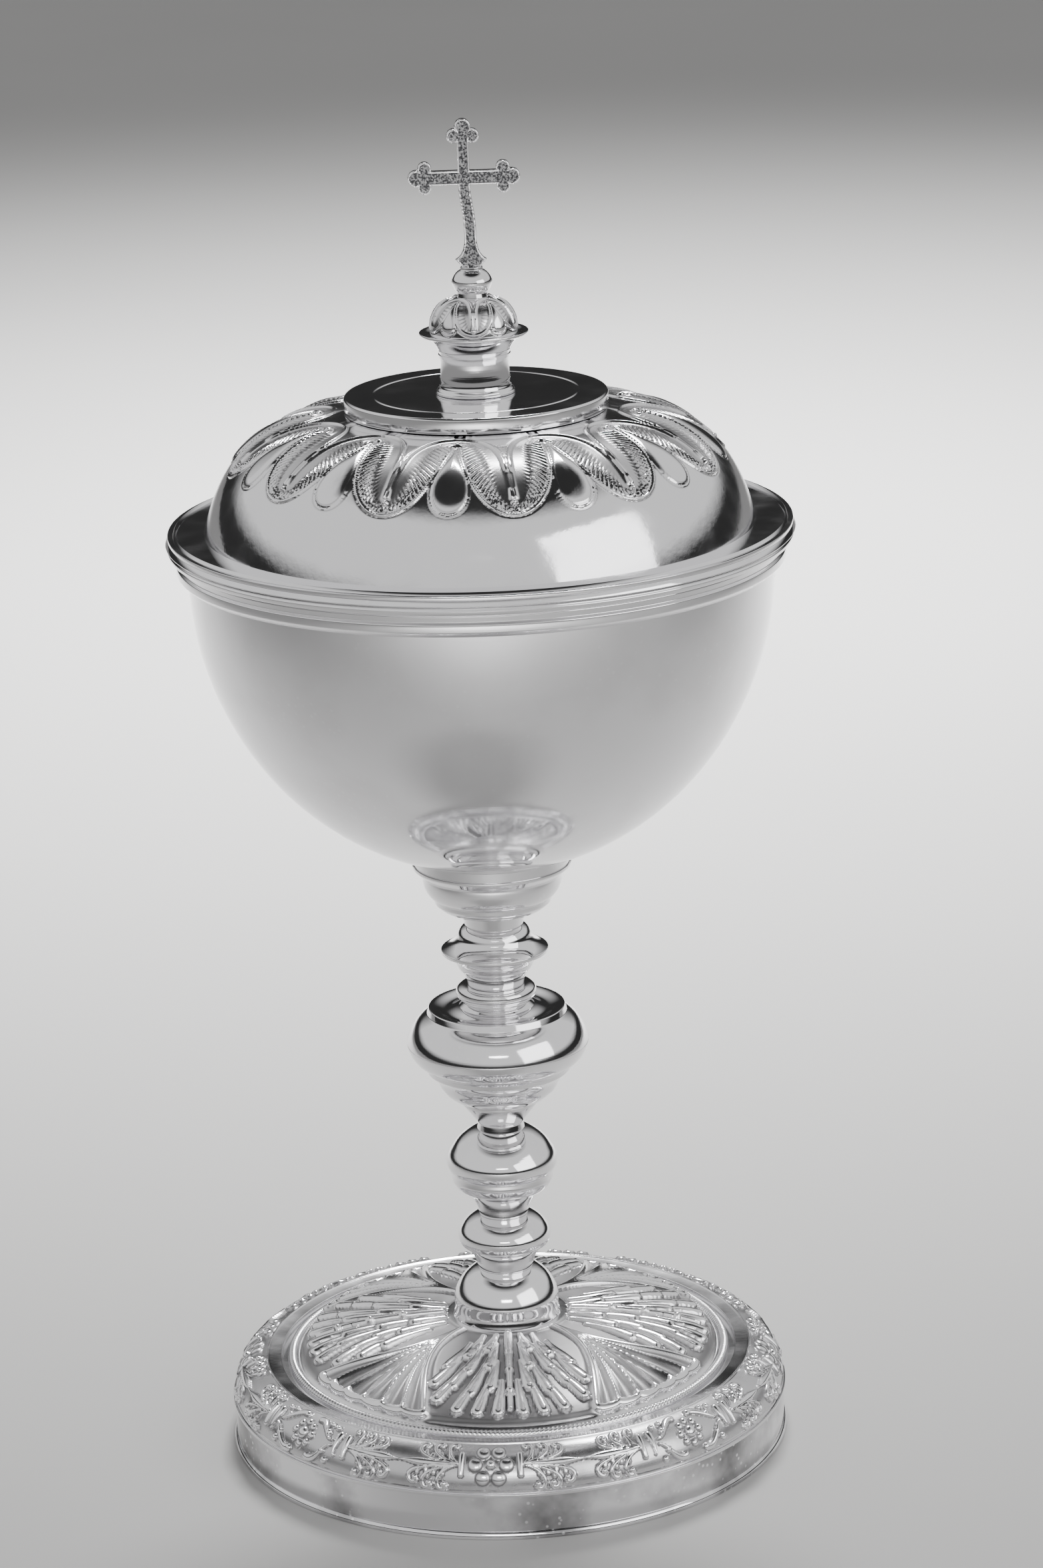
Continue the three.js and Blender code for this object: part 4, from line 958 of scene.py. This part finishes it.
def frieze(band, half_columns):
    """The relief of an eighth of the border, from the middle of a rosette to the middle of the fruit."""
    steps = distances(band)
    across, up = np.meshgrid(np.linspace(0, FRIEZE_LENGTH, half_columns + 1), steps - FRIEZE_MIDDLE)
    points = np.stack([across, up], axis=-1).reshape(-1, 2)
    turned = points * [-1, 1]
    parts = [rosette(points, *ROSETTE), frieze_fan(points), frieze_fan(turned + [2 * FRIEZE_TIP, 0]),
             fruit(turned + [FRIEZE_LENGTH, 0])]
    height = np.max(parts, axis=0).reshape(across.shape)
    ends = smooth(steps, 0, FRIEZE_MARGIN) * smooth(-steps, -steps[-1], -steps[-1] + FRIEZE_MARGIN)
    share = height / FRIEZE_RISE
    outline = smooth(share, *FRIEZE_OUTLINE_START) * (1 - smooth(share, *FRIEZE_OUTLINE_END))
    bare = share < FRIEZE_OUTLINE_START[1]
    ground = np.maximum(FRIEZE_OUTLINE * outline, FRIEZE_GROUND * bare) * ends[:, None]
    lines = [wire(steps - at, FRIEZE_RIM_HALF) for at in (FRIEZE_MARGIN / 2, steps[-1] - FRIEZE_MARGIN / 2)]
    rims = FRIEZE_RIM_SHARE * FRIEZE_RISE * np.maximum(*lines)[:, None]
    return np.maximum(height * ends[:, None], rims), ground


def foot_border(material):
    loop = section("foot_border")[0]
    foot = int(np.argmax(loop[:, 0] - loop[:, 1]))
    shoulder = int(np.argmax(loop[:, 0] + loop[:, 1] * HEIGHT_FIRST))
    around = np.roll(loop, -foot, axis=0)
    curve = softened(around[:(shoulder - foot) % len(loop) + 1], False)
    curve = resampled(curve, FRIEZE_ROW_STEP)
    chased_piece("foot_border", curve, np.ones(len(curve), bool), FOOT_MOTIFS, FRIEZE_TURN,
                 FRIEZE_HALF_COLUMNS, FRIEZE_ROW_STEP, frieze, material, 0)


def milled_ring(material):
    """A fine rope: strands that slant round the ring, worked on the outside of its section."""
    low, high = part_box("foot_milled_ring")
    loop = section("foot_milled_ring")[0]
    inner, outer = loop[:, 0].min(), loop[:, 0].max()
    middle, half = (inner + outer) / 2, (outer - inner) / 2
    rise = high[2] - low[2]
    strands = int(2 * math.pi * middle / ROPE_PITCH)
    angles = ring_angles(strands * ROPE_STRAND_STEPS)
    bows = np.linspace(0, math.pi, ROPE_ROWS)
    rings = []
    for bow in bows:
        phase = strands * angles / 2 - ROPE_SLANT * bow
        swell = 1 - ROPE_DEPTH * (1 - np.abs(np.sin(phase))) * math.sin(bow)
        radius = middle + half * math.cos(bow) * (1 - ROPE_SIDE * (1 - swell))
        rings.append(ring(radius, low[2] + rise * math.sin(bow) * swell, angles))
    hollows = [np.full(len(angles), ROPE_TARNISH * math.sin(bow)) for bow in bows]
    piece = skinned("foot_milled_ring_rope", rings, True, hollows)
    stand_for(piece, "foot_milled_ring", material)


# Materials


def shader(name, metallic=1):
    material = bpy.data.materials.new(name)
    material.use_nodes = True
    tree = material.node_tree
    surface = tree.nodes["Principled BSDF"]
    surface.inputs["Metallic"].default_value = metallic
    return material, tree, surface


def add_node(tree, kind, **values):
    node = tree.nodes.new(kind)
    for key, value in values.items():
        if key in node.inputs:
            node.inputs[key].default_value = value
        else:
            setattr(node, key, value)
    return node


def noise_of(tree, scale, detail, stretch=(1, 1, 1)):
    place = add_node(tree, "ShaderNodeTexCoord")
    spread = add_node(tree, "ShaderNodeMapping", Scale=stretch)
    pattern = add_node(tree, "ShaderNodeTexNoise", Scale=scale, Detail=detail)
    tree.links.new(place.outputs["Object"], spread.inputs["Vector"])
    tree.links.new(spread.outputs["Vector"], pattern.inputs["Vector"])
    return pattern.outputs["Fac"]


def ranged(tree, source, low, high, start=0.0, end=1.0):
    limits = {"From Min": start, "From Max": end, "To Min": low, "To Max": high}
    spread = add_node(tree, "ShaderNodeMapRange", **limits)
    tree.links.new(source, spread.inputs["Value"])
    return spread.outputs["Result"]


def combined(tree, first, second, operation="MULTIPLY"):
    both = add_node(tree, "ShaderNodeMath", operation=operation)
    tree.links.new(first, both.inputs[0])
    tree.links.new(second, both.inputs[1])
    return both.outputs["Value"]


def bump(tree, source, strength, distance, below=None):
    bumps = add_node(tree, "ShaderNodeBump", Strength=strength, Distance=distance)
    tree.links.new(source, bumps.inputs["Height"])
    if below:
        tree.links.new(below, bumps.inputs["Normal"])
    return bumps.outputs["Normal"]


def tinted(tree, surface, clean, stain_and_reflection_colour, share):
    """Mixes the surface's colour from two, by the share of the second."""
    tint = add_node(tree, "ShaderNodeMix", data_type="RGBA")
    tint.inputs["A"].default_value = (*clean, 1)
    # The second colour is a stain or tarnish, and on the skirt and base ring a painted dark reflection.
    tint.inputs["B"].default_value = (*stain_and_reflection_colour, 1)
    tree.links.new(share, tint.inputs["Factor"])
    tree.links.new(tint.outputs["Result"], surface.inputs["Base Color"])


def plain_silver(name, stain_and_reflection, scale, limits):
    """Bright hand-polished plate: broad soft waves, fine turning lines and stains with clear drops. On the
    skirt and base ring the dark mottle is a painted reflection, not a stain.
    """
    material, tree, surface = shader(name)
    place = add_node(tree, "ShaderNodeTexCoord")
    cells = add_node(tree, "ShaderNodeTexVoronoi", Scale=DROP_SCALE)
    tree.links.new(place.outputs["Object"], cells.inputs["Vector"])
    stains_and_reflections = ranged(tree, noise_of(tree, scale, STAIN_DETAIL), 0, 1, *limits)
    clear = ranged(tree, cells.outputs["Distance"], 0, 1, *DROP_LIMITS)
    # The mottle is a real stain on the polished silver and a painted dark reflection on the skirt and base
    # ring.
    tinted(tree, surface, SILVER, stain_and_reflection, combined(tree, stains_and_reflections, clear))
    smears = ranged(tree, noise_of(tree, *SMEARS), *PLAIN_ROUGHNESS, *SMEAR_LIMITS)
    tree.links.new(smears, surface.inputs["Roughness"])
    waves = bump(tree, noise_of(tree, *WAVES), *WAVE_BUMP)
    lines = bump(tree, noise_of(tree, *TURNING_LINES), *TURNING_BUMP, waves)
    tree.links.new(lines, surface.inputs["Normal"])
    return material


def chased_silver(name, roughness):
    """The same plate where it is chased: softer, with tarnish left in the hollows."""
    material, tree, surface = shader(name)
    depth = add_node(tree, "ShaderNodeAttribute", attribute_name="hollow").outputs["Fac"]
    tinted(tree, surface, CHASED_SILVER, TARNISH, depth)
    smears = ranged(tree, noise_of(tree, *CHASED_SMEARS), *roughness, *SMEAR_LIMITS)
    matt = combined(tree, smears, ranged(tree, depth, 0, TARNISH_ROUGHNESS), "ADD")
    tree.links.new(matt, surface.inputs["Roughness"])
    tree.links.new(bump(tree, noise_of(tree, *CHASED_GRAIN), *CHASED_BUMP), surface.inputs["Normal"])
    return material


def cross_silver():
    """Cast plate: a bright raised border round a sunk face, which is stippled and dark."""
    material, tree, surface = shader("cross_silver")
    place = add_node(tree, "ShaderNodeTexCoord")
    ways = add_node(tree, "ShaderNodeNewGeometry")
    shares = []
    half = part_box("finial_cross")[1][1]
    for source, limits in ((place.outputs["Object"], [half - depth for depth in CAST_SUNK]),
                           (ways.outputs["Normal"], CAST_FACING)):
        parts = add_node(tree, "ShaderNodeSeparateXYZ")
        size = add_node(tree, "ShaderNodeMath", operation="ABSOLUTE")
        tree.links.new(source, parts.inputs["Vector"])
        tree.links.new(parts.outputs["Y"], size.inputs[0])
        shares.append(ranged(tree, size.outputs["Value"], 0, 1, *limits))
    sunk = combined(tree, *shares)
    grains = noise_of(tree, *CAST_GRAIN)
    dark = combined(tree, sunk, ranged(tree, grains, *CAST_GRAIN_TARNISH, *CAST_GRAIN_LIMITS))
    tinted(tree, surface, CAST_SILVER, CAST_TARNISH, dark)
    tree.links.new(ranged(tree, sunk, *CAST_ROUGHNESS), surface.inputs["Roughness"])
    tree.links.new(bump(tree, combined(tree, sunk, grains), *CAST_BUMP), surface.inputs["Normal"])
    return material


def plain_brass():
    material, tree, surface = shader("plain_brass")
    patches = ranged(tree, noise_of(tree, *BRASS_PATCHES), 0, 1, *BRASS_LIMITS)
    tinted(tree, surface, BRASS, DULL_BRASS, patches)
    smears = ranged(tree, noise_of(tree, *BRASS_SMEARS), *BRASS_ROUGHNESS)
    tree.links.new(smears, surface.inputs["Roughness"])
    tree.links.new(bump(tree, noise_of(tree, *BRASS_LINES), *BRASS_BUMP), surface.inputs["Normal"])
    return material


def floor_paint():
    material, tree, surface = shader("pale_floor", 0)
    tinted(tree, surface, *FLOOR_COLOURS, noise_of(tree, *FLOOR_PATCHES))
    surface.inputs["Roughness"].default_value = FLOOR_ROUGHNESS
    return material


# Stage


def make_camera():
    camera = bpy.data.objects.new("camera", bpy.data.cameras.new("camera"))
    bpy.context.scene.collection.objects.link(camera)
    level_share = math.cos(CAMERA_PITCH)
    ahead = Vector((math.sin(CAMERA_YAW) * level_share, math.cos(CAMERA_YAW) * level_share,
                    -math.sin(CAMERA_PITCH)))
    level = Vector((math.cos(CAMERA_YAW), -math.sin(CAMERA_YAW), 0))
    above = level.cross(ahead)
    right = level * math.cos(CAMERA_ROLL) + above * math.sin(CAMERA_ROLL)
    up = above * math.cos(CAMERA_ROLL) - level * math.sin(CAMERA_ROLL)
    turn = Matrix((right, up, -ahead)).transposed().to_4x4()
    camera.matrix_world = Matrix.Translation((CAMERA_SIDE, -CAMERA_DISTANCE, CAMERA_HEIGHT)) @ turn
    camera.data.sensor_fit = "VERTICAL"
    camera.data.sensor_height = SENSOR_HEIGHT
    camera.data.lens = CAMERA_LENS
    camera.data.clip_start, camera.data.clip_end = CAMERA_CLIP
    bpy.context.scene.camera = camera


def softbox(name, place, target, width, height, brightness, spread):
    """A soft light of one brightness all over, so its power follows from its size."""
    light = bpy.data.lights.new(name, "AREA")
    light.shape = "RECTANGLE"
    light.size = width
    light.size_y = height
    light.energy = brightness * math.pi * width * height
    light.spread = spread
    lamp = bpy.data.objects.new(name, light)
    lamp.location = place
    lamp.rotation_euler = (Vector(target) - Vector(place)).to_track_quat("-Z", "Y").to_euler()
    bpy.context.scene.collection.objects.link(lamp)


def surround():
    """A plain studio surround: bright at mid height in front and at the sides, dark overhead and behind."""
    world = bpy.data.worlds.new("studio")
    world.use_nodes = True
    tree = world.node_tree
    way = add_node(tree, "ShaderNodeTexCoord")
    parts = add_node(tree, "ShaderNodeSeparateXYZ")
    tree.links.new(way.outputs["Generated"], parts.inputs["Vector"])
    foot = ranged(tree, parts.outputs["Z"], 0, 1, *SURROUND_FOOT)
    head = ranged(tree, parts.outputs["Z"], 1, 0, *SURROUND_HEAD)
    back = ranged(tree, parts.outputs["Y"], 1, 0, *SURROUND_BACK)
    share = combined(tree, combined(tree, foot, head), back)
    background = tree.nodes["Background"]
    background.inputs["Color"].default_value = (1, 1, 1, 1)
    tree.links.new(ranged(tree, share, SURROUND_DARK, SURROUND_BRIGHT), background.inputs["Strength"])
    bpy.context.scene.world = world


def make_stage():
    bpy.ops.mesh.primitive_plane_add(size=FLOOR_SIZE, location=(0, 0, 0))
    floor = bpy.context.object
    floor.name = "floor"
    floor.data.materials.append(floor_paint())
    surround()
    for light in LIGHTS:
        softbox(*light)


# Putting it together

# The skirt and base ring get a dark mottle that is painted reflection, not wear.
PAINTED_REFLECTION_NODES = ["foot_skirt", "foot_base_ring"]
NUTS = ["foot_nut", "finial_nut"]
CHASED = {"lid_dome": lid_dome, "finial_petal_cap": petal_cap, "foot_dome": foot_dome,
          "foot_border": foot_border, "foot_milled_ring": milled_ring}

make_camera()
make_stage()
# One of these silvers paints dark reflections onto the skirt and base ring as a dark mottle.
materials = {"polished_silver": plain_silver("polished_silver", *POLISHED_STAIN),
             "silver_painted_reflections": plain_silver("silver_painted_reflections", *PAINTED_DARK_REFLECTIONS),
             "chased_silver": chased_silver("chased_silver", CHASED_ROUGHNESS),
             "beaten_silver": chased_silver("beaten_silver", BEATEN_ROUGHNESS), "brass": plain_brass()}
for node, piece in frame["nodes"].items():
    if node in NUTS:
        piece.data.materials.clear()
        piece.data.materials.append(materials["brass"])
    elif node == "finial_cross":
        cross(cross_silver())
    elif node in CHASED:
        CHASED[node](materials["beaten_silver" if node.startswith("foot_") else "chased_silver"])
    else:
        material = materials["silver_painted_reflections" if node in PAINTED_REFLECTION_NODES else frame_slots[node]]
        turned_piece(node, WIDE_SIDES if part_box(node)[1][0] > WIDE_RADIUS else SLIM_SIDES, material)
